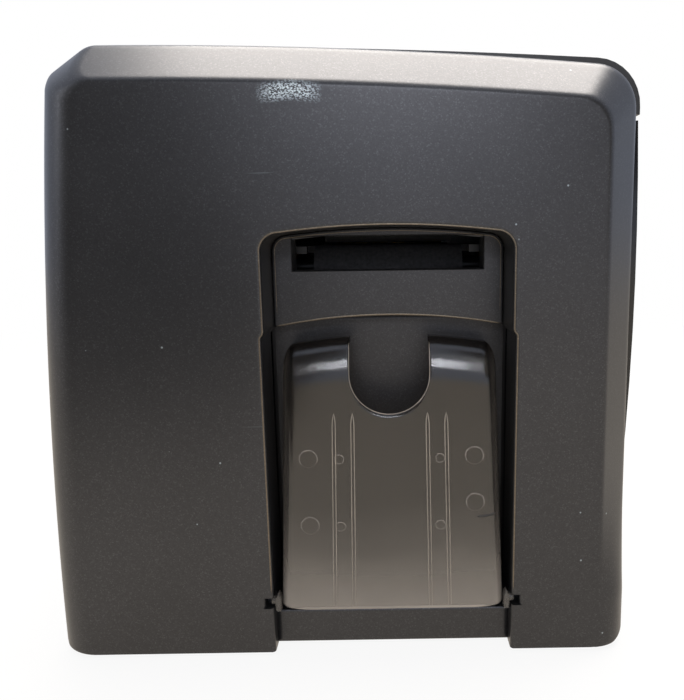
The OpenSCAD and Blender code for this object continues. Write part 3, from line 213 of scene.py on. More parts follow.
def outline(top_in, front_in, rear_in, low_in, corner_r, start_y, end_y, deep=1.0):
    """The end cover's edge in the Y-Z plane, from the middle of its lower edge up the rear, along
    the top, down the front and back: straight, bowed and curved runs joined by small rounds. The
    lower rounds are tight at the face, where deep is 0, and full at the seam, where it is 1."""
    low = FOOT + low_in
    low_corner = TIGHT_R + (LOW_CORNER_R - TIGHT_R) * deep
    low_r = max(low_corner - rear_in, 1)
    low_c = (rear_at(FOOT + low_corner, rear_in) - low_r, low + low_r)

    # the chamfer keeps its slope, and moves in by the mean of the insets beside it
    chamfer_z = CROWN_Z - CHAMFER_DROP
    slope = math.atan2(CHAMFER_DROP, rear_at(chamfer_z, 0) - CROWN_Y)
    sine, cosine = math.sin(slope), math.cos(slope)
    level = sine * CROWN_Y + cosine * CROWN_Z - (top_in + rear_in) / 2
    side_y = rear_at(chamfer_z, rear_in)
    side_top = (level - sine * side_y) / cosine
    top_z = CROWN_Z - top_in
    top_y = (level - cosine * top_z) / sine
    soft = min(CHAMFER_SOFT, 0.45 * math.hypot(side_y - top_y, top_z - side_top))
    along = np.array([-cosine, sine]) * soft
    side_z = np.linspace(low_c[1], side_top - soft, SIDE_COUNT - FOOT_COUNT)

    # the front corner's arc starts where the crown's fall has its slope
    corner_y = front_at(CROWN_Z - 20, front_in) + corner_r
    fall = math.atan((CROWN_Y - corner_y) / CROWN_R)
    corner_z = crown_at(corner_y, top_in) - corner_r / math.cos(fall)
    crown_y = np.linspace(top_y - soft, corner_y - corner_r * math.sin(fall), TOP_COUNT + 1)[1:]

    foot_up, foot_along = 1.5 + 4.5 * deep, 2 + 10 * deep
    drop_z = np.linspace(corner_z, low + foot_up, SIDE_COUNT - FOOT_COUNT)[1:]
    foot_a = (front_at(low + foot_up, front_in), low + foot_up)
    foot_b = (front_at(low + 4 * deep, front_in), low + 4.6 * deep)
    foot_c = (front_at(low, front_in) + foot_along, low)

    rear_end = (rear_at(side_top - soft, rear_in), side_top - soft)
    crown_start = (top_y - soft, crown_at(top_y - soft, top_in))
    half_corner = CORNER_COUNT // 2
    return np.concatenate([
        line((start_y, low), (low_c[0], low), 12)[:-1],
        arc(low_c, low_r, -90, 0, 13)[:-1],
        columns(rear_at(side_z, rear_in), side_z),
        turn(rear_end, (side_y, side_top), (side_y + along[0], side_top + along[1]), half_corner + 1)[1:],
        turn((top_y - along[0], top_z - along[1]), (top_y, top_z), crown_start, half_corner),
        columns(crown_y, crown_at(crown_y, top_in)),
        arc((corner_y, corner_z), corner_r, 90 + math.degrees(fall), 180, CORNER_COUNT + 1)[1:],
        columns(front_at(drop_z, front_in), drop_z),
        turn(foot_a, foot_b, foot_c, 13)[1:],
        line(foot_c, (end_y, low), 13)[1:],
    ])


def recess(gap, mouth=0.0):
    """The arched recess's edge, moved outward by gap, from its rear foot over the arch to its front
    foot. Below the step it is wider. mouth widens it at the two pivot notches."""
    r, wide = ARCH_R + gap, RECESS_HALF + gap
    bow = (RECESS_HALF - ARCH_R) ** 2 / (2 * ARCH_RISE)
    marks = [NOTCH_LOW - 0.01, NOTCH_LOW + 0.01, NOTCH_HIGH - 0.01, NOTCH_HIGH + 0.01]
    marks += [STEP_Z, STEP_Z + 0.7, STEP_Z + 1.4, STEP_Z + STEP_TALL]
    z = np.linspace(FOOT, ARCH_Z - ARCH_R, SIDE_COUNT - len(marks))
    z = np.sort(np.concatenate([z, marks]))
    ease = np.clip((STEP_Z + STEP_TALL - z) / STEP_TALL, 0, 1)
    side = wide + STEP_OUT * ease * ease * (3 - 2 * ease) + mouth * ((z > NOTCH_LOW) & (z < NOTCH_HIGH))
    top_y = np.linspace(wide - r, -(wide - r), TOP_COUNT + 2)[1:-1]
    return np.concatenate([
        columns(PATH_Y + side, z),
        arc((PATH_Y + wide - r, ARCH_Z - ARCH_R), r, 0, 82, CORNER_COUNT + 1)[1:],
        columns(PATH_Y + top_y, ARCH_Z + gap + ARCH_RISE - top_y**2 / (2 * bow)),
        arc((PATH_Y - wide + r, ARCH_Z - ARCH_R), r, 98, 180, CORNER_COUNT + 1)[:-1],
        columns(PATH_Y - side, z)[::-1],
    ])


def lip_at(y):
    """The lip's height: it falls from the middle with the square of the place across."""
    return LIP_Z + LIP_RISE * (1 - (y / RECESS_HALF) ** 2)


def above_lip(gap):
    """The recess's edge moved outward by gap, as far as it lies above the lip."""
    edge = recess(gap)
    return edge[edge[:, 1] > LIP_Z + 3.2]


def panel_edge(gap):
    """The exit panel's edge moved outward by gap, as a closed loop of evenly spaced points."""
    y = np.linspace(-RECESS_HALF - gap, RECESS_HALF + gap, 61)
    top = above_lip(gap)
    return spaced(np.concatenate([top, columns(PATH_Y + y, lip_at(y) - gap), top[:1]]), 401)[:-1]


# ---------- meshes ----------


def skin(rows, closed=False, flip=False):
    """A surface through rows of points: each row is joined to the next by quads, and its end to its
    start where it is closed."""
    grid = np.stack(rows)
    number = np.arange(grid.shape[0] * grid.shape[1]).reshape(grid.shape[:2])
    if closed:
        number = np.concatenate([number, number[:, :1]], 1)
    faces = columns(number[:-1, :-1], number[:-1, 1:], number[1:, 1:], number[1:, :-1]).reshape(-1, 4)
    return grid.reshape(-1, 3), faces[:, ::-1] if flip else faces


def joined(*surfaces):
    """Several surfaces as one, with the corner numbers of each moved on by the points before it."""
    before = np.cumsum([0] + [len(points) for points, faces in surfaces])
    faces = [faces + start for (points, faces), start in zip(surfaces, before)]
    return np.concatenate([points for points, faces in surfaces]), np.concatenate(faces)


def between(first, second, shares):
    """Rows that lie between two others, each at its share of the way."""
    return [(1 - t) * first + t * second for t in shares]


def at_depth(points, depth, sign=1):
    """Y-Z points placed at a depth behind the left end face, or the right one where sign is -1."""
    return columns(sign * (depth - FACE_X), points[:, 0], points[:, 1])


def recess_row(gap, depth, mouth=0.0):
    """The recess's edge at a depth behind the left end face."""
    return at_depth(recess(gap, mouth), depth)


def toward_opening(loop, middle, half):
    """The edge of a rectangular opening as a function of how far outside the opening it lies. Each
    point of a loop is drawn straight towards the middle until it meets the edge, and the nearest
    ones are moved on to the corners."""
    away = loop - middle
    edge = away / np.max(np.abs(away) / half, axis=1)[:, None]
    for corner in ((1, 1), (1, -1), (-1, 1), (-1, -1)):
        target = np.array(half) * corner
        edge[np.argmin(np.linalg.norm(edge - target, axis=1))] = target
    return lambda gap: middle + edge * (1 + gap / np.array(half))


def revolved(profile, centre, axis, count):
    """A surface of revolution: (distance along the axis, radius) pairs turned round it in even steps."""
    a = np.linspace(0, 2 * np.pi, count, endpoint=False)
    profile = np.asarray(profile, float)
    side = [i for i in range(3) if i != axis]
    grid = np.zeros((len(profile), count, 3))
    grid[:, :, axis] = profile[:, :1] + centre[axis]
    grid[:, :, side[0]] = centre[side[0]] + profile[:, 1:] * np.cos(a)
    grid[:, :, side[1]] = centre[side[1]] + profile[:, 1:] * np.sin(a)
    return skin(grid, closed=True, flip=axis != 1)


def bead(path, out, half_width, height, count=10):
    """A bead along a path: an ellipse of half_width and height, the height along out, carried along
    the path. It swells from nothing at both ends as a square root, so that each end is closed."""
    along = np.gradient(path, axis=0)
    along /= np.linalg.norm(along, axis=1)[:, None]
    side = np.cross(out, along)
    side /= np.linalg.norm(side, axis=1)[:, None]
    a = np.linspace(0, 2 * np.pi, count, endpoint=False)[None, :, None]
    t = np.linspace(0, 1, len(path))
    swell = np.sqrt(np.clip(np.minimum(t, 1 - t) * len(path) / 2.5, 0, 1))[:, None, None]
    ring = half_width * np.cos(a) * side[:, None] + height * np.sin(a) * np.asarray(out)
    return skin(path[:, None] + swell * ring, closed=True)


def mesh_object(name, surface, material, sharp):
    """Puts points in millimetres and their faces into a mesh whose edges over an angle stay sharp."""
    points, faces = surface
    mesh = bpy.data.meshes.new(name)
    mesh.from_pydata((points * MM).tolist(), [], faces.tolist())
    mesh.update()
    made = bpy.data.objects.new(name, mesh)
    bpy.context.scene.collection.objects.link(made)
    mesh.materials.append(material)
    mesh.polygons.foreach_set("use_smooth", [True] * len(mesh.polygons))
    mesh.set_sharp_from_angle(angle=math.radians(sharp))
    return made


def mend(made, distance, fill, turned_out, sharp):
    """Joins points that lie together, puts a face into each hole that is left, such as the feet of
    a wall, and turns the faces of closed shells outwards, the last two where asked."""
    bm = bmesh.new()
    bm.from_mesh(made.data)
    bmesh.ops.remove_doubles(bm, verts=bm.verts, dist=distance * MM)
    if fill:
        bmesh.ops.dissolve_degenerate(bm, edges=bm.edges, dist=distance * MM)
        bmesh.ops.holes_fill(bm, edges=[e for e in bm.edges if e.is_boundary], sides=0)
    if turned_out:
        bmesh.ops.recalc_face_normals(bm, faces=bm.faces)
    bm.to_mesh(made.data)
    bm.free()
    if fill:
        made.data.set_sharp_from_angle(angle=math.radians(sharp))


def piece(name, surface, material, body, slot, *nodes, sharp=38,
          merge=0.0, fill=False, turned_out=False, wall=0.0, even=True):
    """Makes a piece: its mesh, mended, with its wall and even shading. It rides on a body and stands for the
    nodes that it is made in place of. Its slot argument is not used."""
    made = mesh_object(name, surface, material, sharp)
    if merge:
        mend(made, merge, fill, turned_out, sharp)
    if wall:
        shell = made.modifiers.new("wall", "SOLIDIFY")
        shell.thickness = wall * MM
        shell.offset = -1
    if even:
        shading = made.modifiers.new("even_normals", "WEIGHTED_NORMAL")
        shading.keep_sharp = True
    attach(made, body)
    if nodes:
        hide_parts(*nodes)


# how the covers and the small beads are mended
COVER = {"merge": 0.005, "fill": True}
BEADS = {"merge": 0.01, "turned_out": True, "sharp": 60, "even": False}


# ---------- sizes and colours that a user would change ----------


def linear(colour):
    """A hex sRGB colour as the linear RGBA that shaders use. The panel's colours are linear already."""
    if not isinstance(colour, str):
        return tuple(colour)
    v = np.array([int(colour[i : i + 2], 16) for i in (1, 3, 5)]) / 255
    v = np.where(v <= 0.04045, v / 12.92, ((v + 0.055) / 1.055) ** 2.4)
    return (*[float(c) for c in v], 1.0)


def length(name, description, default):
    """A length in the panel, given in millimetres and kept in Blender's metres."""
    return bpy.props.FloatProperty(
        name=name, description=description, default=default * MM, unit="LENGTH", precision=4)


def tone(name, description, default):
    """A colour in the panel, given as hex sRGB."""
    return bpy.props.FloatVectorProperty(
        name=name, description=description, default=linear(default), subtype="COLOR", size=4, min=0, max=1)


class PRINTER_PG_sizes(bpy.types.PropertyGroup):
    bevel_run: length("Bevel depth", "Depth of the bevel round the end covers", 12.0)
    bevel_top: length("Top bevel", "Height of the top bevel on the face", 12.8)
    bevel_front: length("Front bevel", "Width of the front bevel on the face", 11.2)
    crease: length("Crease softness", "Reach of the round at each crease", 1.1)
    arris: length("Recess edge round", "Radius of the recess's edge", 1.3)
    tray_wall: length("Tray wall", "Wall of the card tray", 1.8)


class PRINTER_PG_colours(bpy.types.PropertyGroup):
    paint: tone("Cover paint", "Colour of the metallic paint", "#434345")
    black: tone("Black ABS", "Colour of the top cover and front panel", "#1b1b1d")
    tray: tone("Smoky tray", "Colour of the clear moulded tray", "#817a73")
    floor: tone("Floor", "Colour of the floor where it is lit", "#f2f1ef")


def size(name):
    """A length of the panel in millimetres."""
    return round(getattr(bpy.context.scene.printer_sizes, name) / MM, 4)


def colours():
    return bpy.context.scene.printer_colours


# ---------- nodes ----------


def add(tree, kind, inputs=None, **settings):
    """Adds a node with its settings. An input is set to a value, or linked to another node's output."""
    made = tree.nodes.new(kind)
    for name, value in settings.items():
        setattr(made, name, value)
    for name, value in (inputs or {}).items():
        if isinstance(value, bpy.types.NodeSocket):
            tree.links.new(value, made.inputs[name])
        else:
            made.inputs[name].default_value = value
    return made


def maths(tree, operation, *values, **settings):
    """The result of a Math node."""
    return add(tree, "ShaderNodeMath", dict(enumerate(values)), operation=operation, **settings).outputs[0]


def mix(tree, share, first, second, blend="MIX"):
    """Two colours mixed by a share."""
    inputs = {0: share, 6: first, 7: second}
    return add(tree, "ShaderNodeMix", inputs, data_type="RGBA", blend_type=blend).outputs[2]


def noise(tree, place, scale, detail=2.0, rough=0.5):
    """Cloudy noise with about scale lumps to a metre."""
    inputs = {"Vector": place, "Scale": scale, "Detail": detail, "Roughness": rough}
    return add(tree, "ShaderNodeTexNoise", inputs).outputs["Fac"]


def stretched(tree, place, scale, slant=0.0):
    """Places scaled along each axis, and turned about X by a slant in radians."""
    inputs = {"Vector": place, "Rotation": (slant, 0, 0), "Scale": scale}
    return add(tree, "ShaderNodeMapping", inputs).outputs[0]


def ramp(tree, source, *stops):
    """A colour ramp through stops of (position, grey or RGBA)."""
    made = add(tree, "ShaderNodeValToRGB", {0: source})
    band = made.color_ramp
    stops = [(at, (shade, shade, shade, 1.0) if np.isscalar(shade) else shade) for at, shade in stops]
    band.elements[0].position, band.elements[0].color = stops[0]
    band.elements[1].position, band.elements[1].color = stops[-1]
    for at, shade in stops[1:-1]:
        band.elements.new(at).color = shade
    return made.outputs[0]


def bump(tree, height, strength):
    """Relief of up to a tenth of a millimetre."""
    inputs = {"Height": height, "Strength": strength, "Distance": 0.1 * MM}
    return add(tree, "ShaderNodeBump", inputs).outputs[0]


def surface_of(tree, inputs):
    """The surface shader with its inputs."""
    return add(tree, "ShaderNodeBsdfPrincipled", inputs).outputs[0]


def material(name, recipe, *values):
    """The material of a name: the one that is there, or else a new one with the shader that its
    recipe builds from object coordinates."""
    made = bpy.data.materials.get(name)
    if made is None:
        made = bpy.data.materials.new(name)
        made.use_nodes = True
        tree = made.node_tree
        tree.nodes.clear()
        place = add(tree, "ShaderNodeTexCoord").outputs["Object"]
        add(tree, "ShaderNodeOutputMaterial", {0: recipe(tree, place, *values)})
    return made


# ---------- materials ----------


def label_residue(tree, place):
    """How much whitish residue of a torn label lies at a place: about 15 by 4 mm just below the
    crease, drooping to both ends, broken up into specks of half a millimetre."""
    parts = add(tree, "ShaderNodeSeparateXYZ", {0: place}).outputs
    across = maths(tree, "ABSOLUTE", maths(tree, "SUBTRACT", parts[1], 11.5 * MM))
    middle = maths(tree, "MULTIPLY_ADD", across, -0.1, 185.3 * MM)
    height = maths(tree, "ABSOLUTE", maths(tree, "SUBTRACT", parts[2], middle))
    # it fades from 4.5 to 10 mm across and from 1 to 3.3 mm up and down
    wide = ramp(tree, maths(tree, "MULTIPLY", across, 100.0), (0.45, 1.0), (1.0, 0.0))
    tall = ramp(tree, maths(tree, "MULTIPLY", height, 200.0), (0.2, 1.0), (0.66, 0.0))
    drawn = stretched(tree, place, (300.0, 1400.0, 2400.0), 0.2)
    torn = ramp(tree, noise(tree, drawn, 1.0, 3.0, 0.6), (0.47, 0.0), (0.57, 1.0))
    return maths(tree, "MULTIPLY", maths(tree, "MULTIPLY", wide, tall), torn)


def metallic_paint(tree, place, colour, worn=0.0):
    """Metallic paint on moulded ABS: fine bright flake, slight orange peel, dust and, where it is
    worn, hairline scratches and the residue of a label."""
    # flake of about 0.15 mm, drawn at 0.35 mm so that it shows at this distance
    flake = add(tree, "ShaderNodeTexVoronoi", {"Scale": 2800.0, "Vector": place})
    spark = ramp(tree, flake.outputs["Color"], (0.0, 0.82), (0.72, 1.0), (1.0, 1.45))
    # slow unevenness of the spray, about 60 mm across
    cloud = noise(tree, place, 16.0, 3.0)
    shade = mix(tree, 1.0, spark, ramp(tree, cloud, (0.3, 0.93), (0.7, 1.06)), "MULTIPLY")
    colour = mix(tree, 1.0, linear(colour), shade, "MULTIPLY")
    # dust specks of 0.6 mm, one in some of the cells 8 mm apart
    dust = add(tree, "ShaderNodeTexVoronoi", {"Scale": 125.0, "Vector": place}).outputs
    speck = ramp(tree, dust["Distance"], (0.0, 1.0), (0.032, 1.0), (0.045, 0.0))
    few = ramp(tree, dust["Color"], (0.62, 0.0), (0.66, 1.0))
    dirt = maths(tree, "MULTIPLY", maths(tree, "MULTIPLY", speck, few), 0.45)
    if worn:
        # hairlines 20 to 40 mm long and under 1 mm wide, from noise stretched along a slant
        slant = stretched(tree, place, (25.0, 25.0, 1100.0), 0.5)
        scratch = ramp(tree, noise(tree, slant, 1.0), (0.775, 0.0), (0.80, 1.0))
        dirt = maths(tree, "MAXIMUM", maths(tree, "MULTIPLY", scratch, 0.12 * worn), dirt)
        dirt = maths(tree, "MAXIMUM", dirt, label_residue(tree, place))
    return surface_of(tree, {
        "Base Color": mix(tree, dirt, colour, linear("#b6c2c9")),
        "Metallic": maths(tree, "SUBTRACT", 0.82, dirt, use_clamp=True),
        "Roughness": ramp(tree, cloud, (0.3, 0.34), (0.7, 0.39)),
        # orange peel of 0.7 mm
        "Normal": bump(tree, noise(tree, place, 1400.0), 0.06)})


def moulded_plastic(tree, place, colour, roughness, grain_mm, relief, clear=0.0):
    """Injection-moulded ABS or acetal: a fine spark-eroded grain, slight sink and fingertip shine."""
    # sink and handling change it over some 40 mm
    cloud = noise(tree, place, 25.0, 4.0)
    shade = ramp(tree, cloud, (0.3, 0.9), (0.7, 1.08))
    return surface_of(tree, {
        "Base Color": mix(tree, 1.0, linear(colour), shade, "MULTIPLY"),
        "Roughness": ramp(tree, cloud, (0.3, max(roughness - 0.025, 0.04)), (0.7, roughness + 0.025)),
        "Normal": bump(tree, noise(tree, place, 1 / (grain_mm * MM), 3.0), relief),
        "IOR": 1.5, "Alpha": 1.0 - clear})


def smoky_polycarbonate(tree, place, colour):
    """Smoky clear polycarbonate off a polished tool: a smooth skin that catches the lamps over a wall that
    scatters a little light. Near its foot it lets less light through and shows more of its own pale colour,
    painted light for the brighter foot, and it is clearer above."""
    # the wall clouds over some 30 mm
    cloud = noise(tree, place, 30.0, 4.0)
    parts = add(tree, "ShaderNodeSeparateXYZ", {0: place}).outputs
    reach = {0: parts[2], 1: TRAY_Z * MM, 2: TRAY_HIGH[2] * MM}
    height = add(tree, "ShaderNodeMapRange", reach).outputs[0]
    level = maths(tree, "ADD", height, maths(tree, "MULTIPLY_ADD", cloud, 0.12, -0.06))
    # painted light: less light passes toward the foot, which makes that part paler
    clear = ramp(tree, level, (0.0, 0.1), (0.1, 0.4), (0.24, 0.78), (0.4, 0.93), (1.0, 0.985))
    # the side rounds, which draw in by 2.4 mm to the top, are thicker across the view and let less light
    # through, which makes them paler: partly their scatter, partly a painted sheen along the sides
    side = maths(tree, "ABSOLUTE", maths(tree, "SUBTRACT", parts[1], PATH_Y * MM))
    side = maths(tree, "MULTIPLY_ADD", height, TRAY_TAPER * MM, side)
    side_veil_and_painted_sheen = {0: side, 1: 35.2 * MM, 2: 38.0 * MM, 3: 0.0, 4: 0.35}
    side_veil_and_painted_sheen = add(tree, "ShaderNodeMapRange", side_veil_and_painted_sheen).outputs[0]
    # the rolled top has a blasted grain of 0.4 mm, which breaks a highlight into sparks
    blasted = ramp(tree, height, (0.84, 0.0), (0.93, 0.3))
    return surface_of(tree, {
        "Base Color": linear(colour), "IOR": 1.58,
        "Transmission Weight": maths(tree, "SUBTRACT", clear, side_veil_and_painted_sheen, use_clamp=True),
        "Roughness": ramp(tree, cloud, (0.3, 0.11), (0.7, 0.16)),
        "Normal": bump(tree, noise(tree, place, 2500.0, 1.0), blasted)})


def worked_metal(tree, place, colour, roughness, scale, streak):
    """Bare, plated or turned metal: streaks across its working direction, so many to a metre along
    each axis, and a slow change of shine over 25 mm."""
    lines = noise(tree, stretched(tree, place, scale), 1.0, 4.0)
    cloud = noise(tree, place, 40.0, 3.0)
    shade = ramp(tree, lines, (0.25, 1 - streak), (0.75, 1.0))
    return surface_of(tree, {
        "Base Color": mix(tree, 1.0, linear(colour), shade, "MULTIPLY"), "Metallic": 1.0,
        "Roughness": ramp(tree, cloud, (0.3, max(roughness - 0.06, 0.05)), (0.7, roughness + 0.08)),
        "Normal": bump(tree, lines, 0.15)})


def moulded_rubber(tree, place, colour, roughness):
    """Ground or moulded rubber: matt, with a dusting of pale grit of about 1 mm."""
    grit = noise(tree, place, 900.0, 4.0)
    pale = tuple(min(1.0, c * 1.9 + 0.01) for c in linear(colour)[:3]) + (1.0,)
    return surface_of(tree, {
        "Base Color": ramp(tree, grit, (0.3, linear(colour)), (0.8, pale)),
        "Normal": bump(tree, grit, 0.4), "IOR": 1.52, "Roughness": roughness})


def circuit_board(tree, place):
    """Glass-epoxy board under green solder mask with tracks 2 mm apart and pale pads. Above it
    stand black epoxy packages and, at its rear edge, nickel-plated sockets."""
    bricks = {"Vector": place, "Scale": 1.0,
              "Mortar Size": 0.3 * MM, "Brick Width": 8.5 * MM, "Row Height": 2.1 * MM,
              "Color1": linear("#0f4a26"), "Color2": linear("#135a2e"), "Mortar": linear("#2c8a4c")}
    tracks = add(tree, "ShaderNodeTexBrick", bricks).outputs["Color"]
    # pads of 1.4 mm in about half of the cells 4 mm apart
    pads = add(tree, "ShaderNodeTexVoronoi", {"Scale": 260.0, "Vector": place}).outputs
    pad = ramp(tree, pads["Distance"], (0.0, 1.0), (0.16, 1.0), (0.2, 0.0))
    pad = maths(tree, "MULTIPLY", pad, ramp(tree, pads["Color"], (0.5, 0.0), (0.55, 1.0)))
    colour = mix(tree, pad, tracks, linear("#b9b4a4"))
    parts = add(tree, "ShaderNodeSeparateXYZ", {0: place}).outputs
    above = maths(tree, "GREATER_THAN", parts[2], BOARD_TOP * MM)
    rear = maths(tree, "MULTIPLY", maths(tree, "GREATER_THAN", parts[1], SOCKETS_Y * MM), above)
    grain = noise(tree, place, 1800.0)
    epoxy = ramp(tree, grain, (0.3, linear("#151516")), (0.7, linear("#232324")))
    plate = ramp(tree, grain, (0.3, linear("#9a9ca0")), (0.7, linear("#b4b6b9")))
    return surface_of(tree, {
        "Base Color": mix(tree, rear, mix(tree, above, colour, epoxy), plate),
        "Metallic": maths(tree, "MULTIPLY_ADD", pad, maths(tree, "SUBTRACT", 1.0, above), rear),
        "IOR": 1.5, "Roughness": 0.35})


def dye_film(tree, place):
    """Dye-coated polyester film: yellow, magenta and cyan panels 88 mm long that follow each other."""
    along = add(tree, "ShaderNodeSeparateXYZ", {0: place}).outputs[0]
    run = maths(tree, "FRACT", maths(tree, "MULTIPLY_ADD", along, 1 / (3 * 88 * MM), 0.35))
    band = ramp(tree, run, (0.0, linear("#c9a31a")), (0.34, linear("#b02a5c")), (0.67, linear("#1c5f94")))
    band.node.color_ramp.interpolation = "CONSTANT"
    # its sheen changes over 17 mm
    rough = ramp(tree, noise(tree, place, 60.0, 3.0), (0.3, 0.14), (0.7, 0.26))
    return surface_of(tree, {"Base Color": band, "Roughness": rough, "IOR": 1.6, "Alpha": 0.85})


# Nodes given a darker finish than their slot's: soft pinch rolls, whose real finish is darker, and what the
# exit slot shows, darkened as painted shade inside the slot
DARKER_AND_SHADED = {"exit_pinch": "foot_rubber", "transport_pinch": "foot_rubber", "exit_bezel": "dark_plastic",
          "card_guides": "motor_steel", "exit_shaft": "motor_steel"}


def finish_for(slot):
    """The material of each of the record's slots: its name, its recipe and the recipe's values."""
    c = colours()
    table = {
        "gunmetal_paint": ("metallic_paint_on_abs", metallic_paint, c.paint),
        "black_cover": ("grained_black_abs", moulded_plastic, c.black, 0.42, 0.6, 0.3),
        "gloss_black": ("polished_black_abs", moulded_plastic, "#141416", 0.16, 2.0, 0.03),
        "dark_plastic": ("dark_grey_abs", moulded_plastic, "#2d2d2e", 0.5, 0.6, 0.3),
        "grey_plastic": ("grey_abs", moulded_plastic, "#7c7c7d", 0.45, 0.5, 0.2),
        "white_plastic": ("white_acetal", moulded_plastic, "#dedcd5", 0.38, 0.5, 0.12),
        "smoke_clear": ("smoky_polycarbonate", smoky_polycarbonate, c.tray),
        "zinc_steel": ("zinc_plated_sheet", worked_metal, "#b9bcbe", 0.34, (40.0, 40.0, 900.0), 0.12),
        "bright_steel": ("ground_steel", worked_metal, "#c6c6c8", 0.22, (900.0, 900.0, 900.0), 0.15),
        "roller_rubber": ("ground_silicone", moulded_rubber, "#3a3a3e", 0.6),
        "foot_rubber": ("moulded_rubber", moulded_rubber, "#161616", 0.8),
        "bronze": ("sintered_bronze", worked_metal, "#a5763c", 0.45, (1500.0, 1500.0, 1500.0), 0.35),
        "brass": ("machined_brass", worked_metal, "#c9a45a", 0.28, (60.0, 1200.0, 60.0), 0.2),
        "head_aluminium": ("anodised_aluminium", worked_metal, "#8a8d90", 0.42, (60.0, 60.0, 1200.0), 0.15),
        "motor_steel": ("black_coated_steel", moulded_plastic, "#1d1d1f", 0.38, 0.4, 0.15),
        "belt_rubber": ("neoprene_belt", moulded_rubber, "#1b1b1b", 0.7),
        "film": ("dye_coated_film", dye_film),
        "board_green": ("green_circuit_board", circuit_board),
        "display_glass": ("tinted_acrylic", moulded_plastic, "#23282c", 0.08, 3.0, 0.01, 0.25),
        "light_lens": ("diffusing_acrylic", moulded_plastic, "#9fc8a9", 0.3, 0.8, 0.05, 0.2),
    }
    return material(*table[slot])


# ---------- the end covers ----------


def painted_piece(name, surface, *nodes, **mending):
    """A piece of the housing in the plain paint."""
    piece(name, surface, finish_for("gunmetal_paint"), "housing", "gunmetal_paint", *nodes, **mending)


def bevel_rows():
    """The section of an end cover from its face round the bevel to the seam. Each row gives its depth
    and how far the top, front and rear edges lie inside the outline there. The top and front follow
    a straight bevel with soft creases, and the rear follows a quarter circle."""
    run, top, soft = size("bevel_run"), size("bevel_top"), size("crease")
    crease = turn((top + soft, 0), (top, 0), (top * (1 - soft / run), soft), 7)
    slope = line(crease[-1], (top * EDGE_SOFT / run, run - EDGE_SOFT), 16)[1:]
    edge = turn(slope[-1], (0, run), (0, run + 1.2), 7)[1:]
    rim = turn((0, SEAM_DEPTH - 0.6), (0, SEAM_DEPTH), (0.6, SEAM_DEPTH), 4)
    inset, depth = np.concatenate([crease, slope, edge, rim]).T
    rear = np.where(depth < REAR_R, REAR_R * fallen(1 - np.clip(depth, 0, REAR_R) / REAR_R), 0)
    rear = np.where(depth == 0, REAR_R + np.maximum(inset - top, 0), rear)
    rear[-3:] = inset[-3:]
    return depth, inset, inset * size("bevel_front") / top, rear


def outer_rows(start_y, end_y, sign=1, skin_in=0.0):
    """The end cover's outside as rows of points at each depth of its section, or its inside where
    skin_in is the wall, which moves every edge in and the face back by that much."""
    rows = []
    for depth, top, front, rear in zip(*bevel_rows()):
        share = min(depth / size("bevel_run"), 1)
        rim = depth > SEAM_DEPTH - 0.5
        low = skin_in / 2 if skin_in else top * (depth > SEAM_DEPTH - 0.2)
        round_r = max(CORNER_R - 4 * (1 - share) - skin_in - min(top, 1) * rim, 3)
        deep = min(max((depth - 6) / 7, 0), 1) ** 2
        edge = outline(top + skin_in, front + skin_in, rear + skin_in, low, round_r, start_y, end_y, deep)
        # toward its foot the front bevel swells into a quarter ellipse
        swell = size("bevel_run") * (fallen(share) - share)
        foot = np.clip((70 - edge[:, 1]) / 50, 0, 1) ** 2 * np.clip((FRONT_Y + 15 - edge[:, 0]) / 3, 0, 1)
        rows.append(at_depth(edge, min(depth + skin_in, SEAM_DEPTH) + swell * foot, sign))
    return rows


def output_end_cover():
    """The left end cover, from behind the exit panel out through the recess and its rounded edge,
    over the face and the bevel to the seam, and back along the inside of the moulding."""
    r = size("arris")
    rows = [recess_row(0, PANEL_IN + 1.5), recess_row(0, NOTCH_IN + 0.02)]
    rows += [recess_row(0, depth, NOTCH_OUT) for depth in (NOTCH_IN, 4.5, 3.0)]
    rows += [recess_row(r * (1 - math.cos(a)), r * (1 - math.sin(a)), NOTCH_OUT) for a in quarter(8)]
    rows.append(recess_row(r + NOTCH_OUT + 0.6, 0.0))
    outer = outer_rows(PATH_Y + 46.5, PATH_Y - 46.5)
    inside = outer_rows(PATH_Y + 48, PATH_Y - 48, skin_in=WALL)
    rows += between(rows[-1], outer[0], (0.04, 0.15, 0.35, 0.6, 0.85, 0.97)) + outer + inside[::-1]
    behind = recess_row(WALL + r, WALL)
    rows += [0.5 * inside[0] + 0.5 * behind, behind, recess_row(WALL, PANEL_IN + 1.5), rows[0]]
    paint = material("metallic_paint_worn", metallic_paint, colours().paint, 1.0)
    piece("output_end_cover", skin(rows), paint, "housing", "gunmetal_paint", "left_end_cover", **COVER)


def exit_panel():
    """The plate with the card slot, whose lower edge rises in an arch. Its edges are rounded all
    round, a flange runs back from them, and its own back closes it."""
    middle = np.array([PATH_Y, (SLOT_LOW + SLOT_HIGH) / 2])
    face = panel_edge(-PANEL_R)
    slot = toward_opening(face, middle, (SLOT_HALF, (SLOT_HIGH - SLOT_LOW) / 2))
    rows = [at_depth(slot(gap), PANEL_IN + depth) for gap, depth in ((0, 2.6), (0, 0.3), (0.3, 0))]
    rows += between(rows[-1], at_depth(face, PANEL_IN), (0.1, 0.5, 0.9))
    for a in quarter(5):
        edge = panel_edge(-PANEL_R * (1 - math.sin(a)))
        rows.append(at_depth(edge, PANEL_IN + PANEL_R * (1 - math.cos(a))))
    back = panel_edge(-1.8)
    rows += [at_depth(panel_edge(0), POCKET_IN), at_depth(back, POCKET_IN)]
    rows += [at_depth(back, PANEL_IN + 2.6), rows[0]]
    painted_piece("exit_panel", skin(rows, closed=True), merge=0.01)


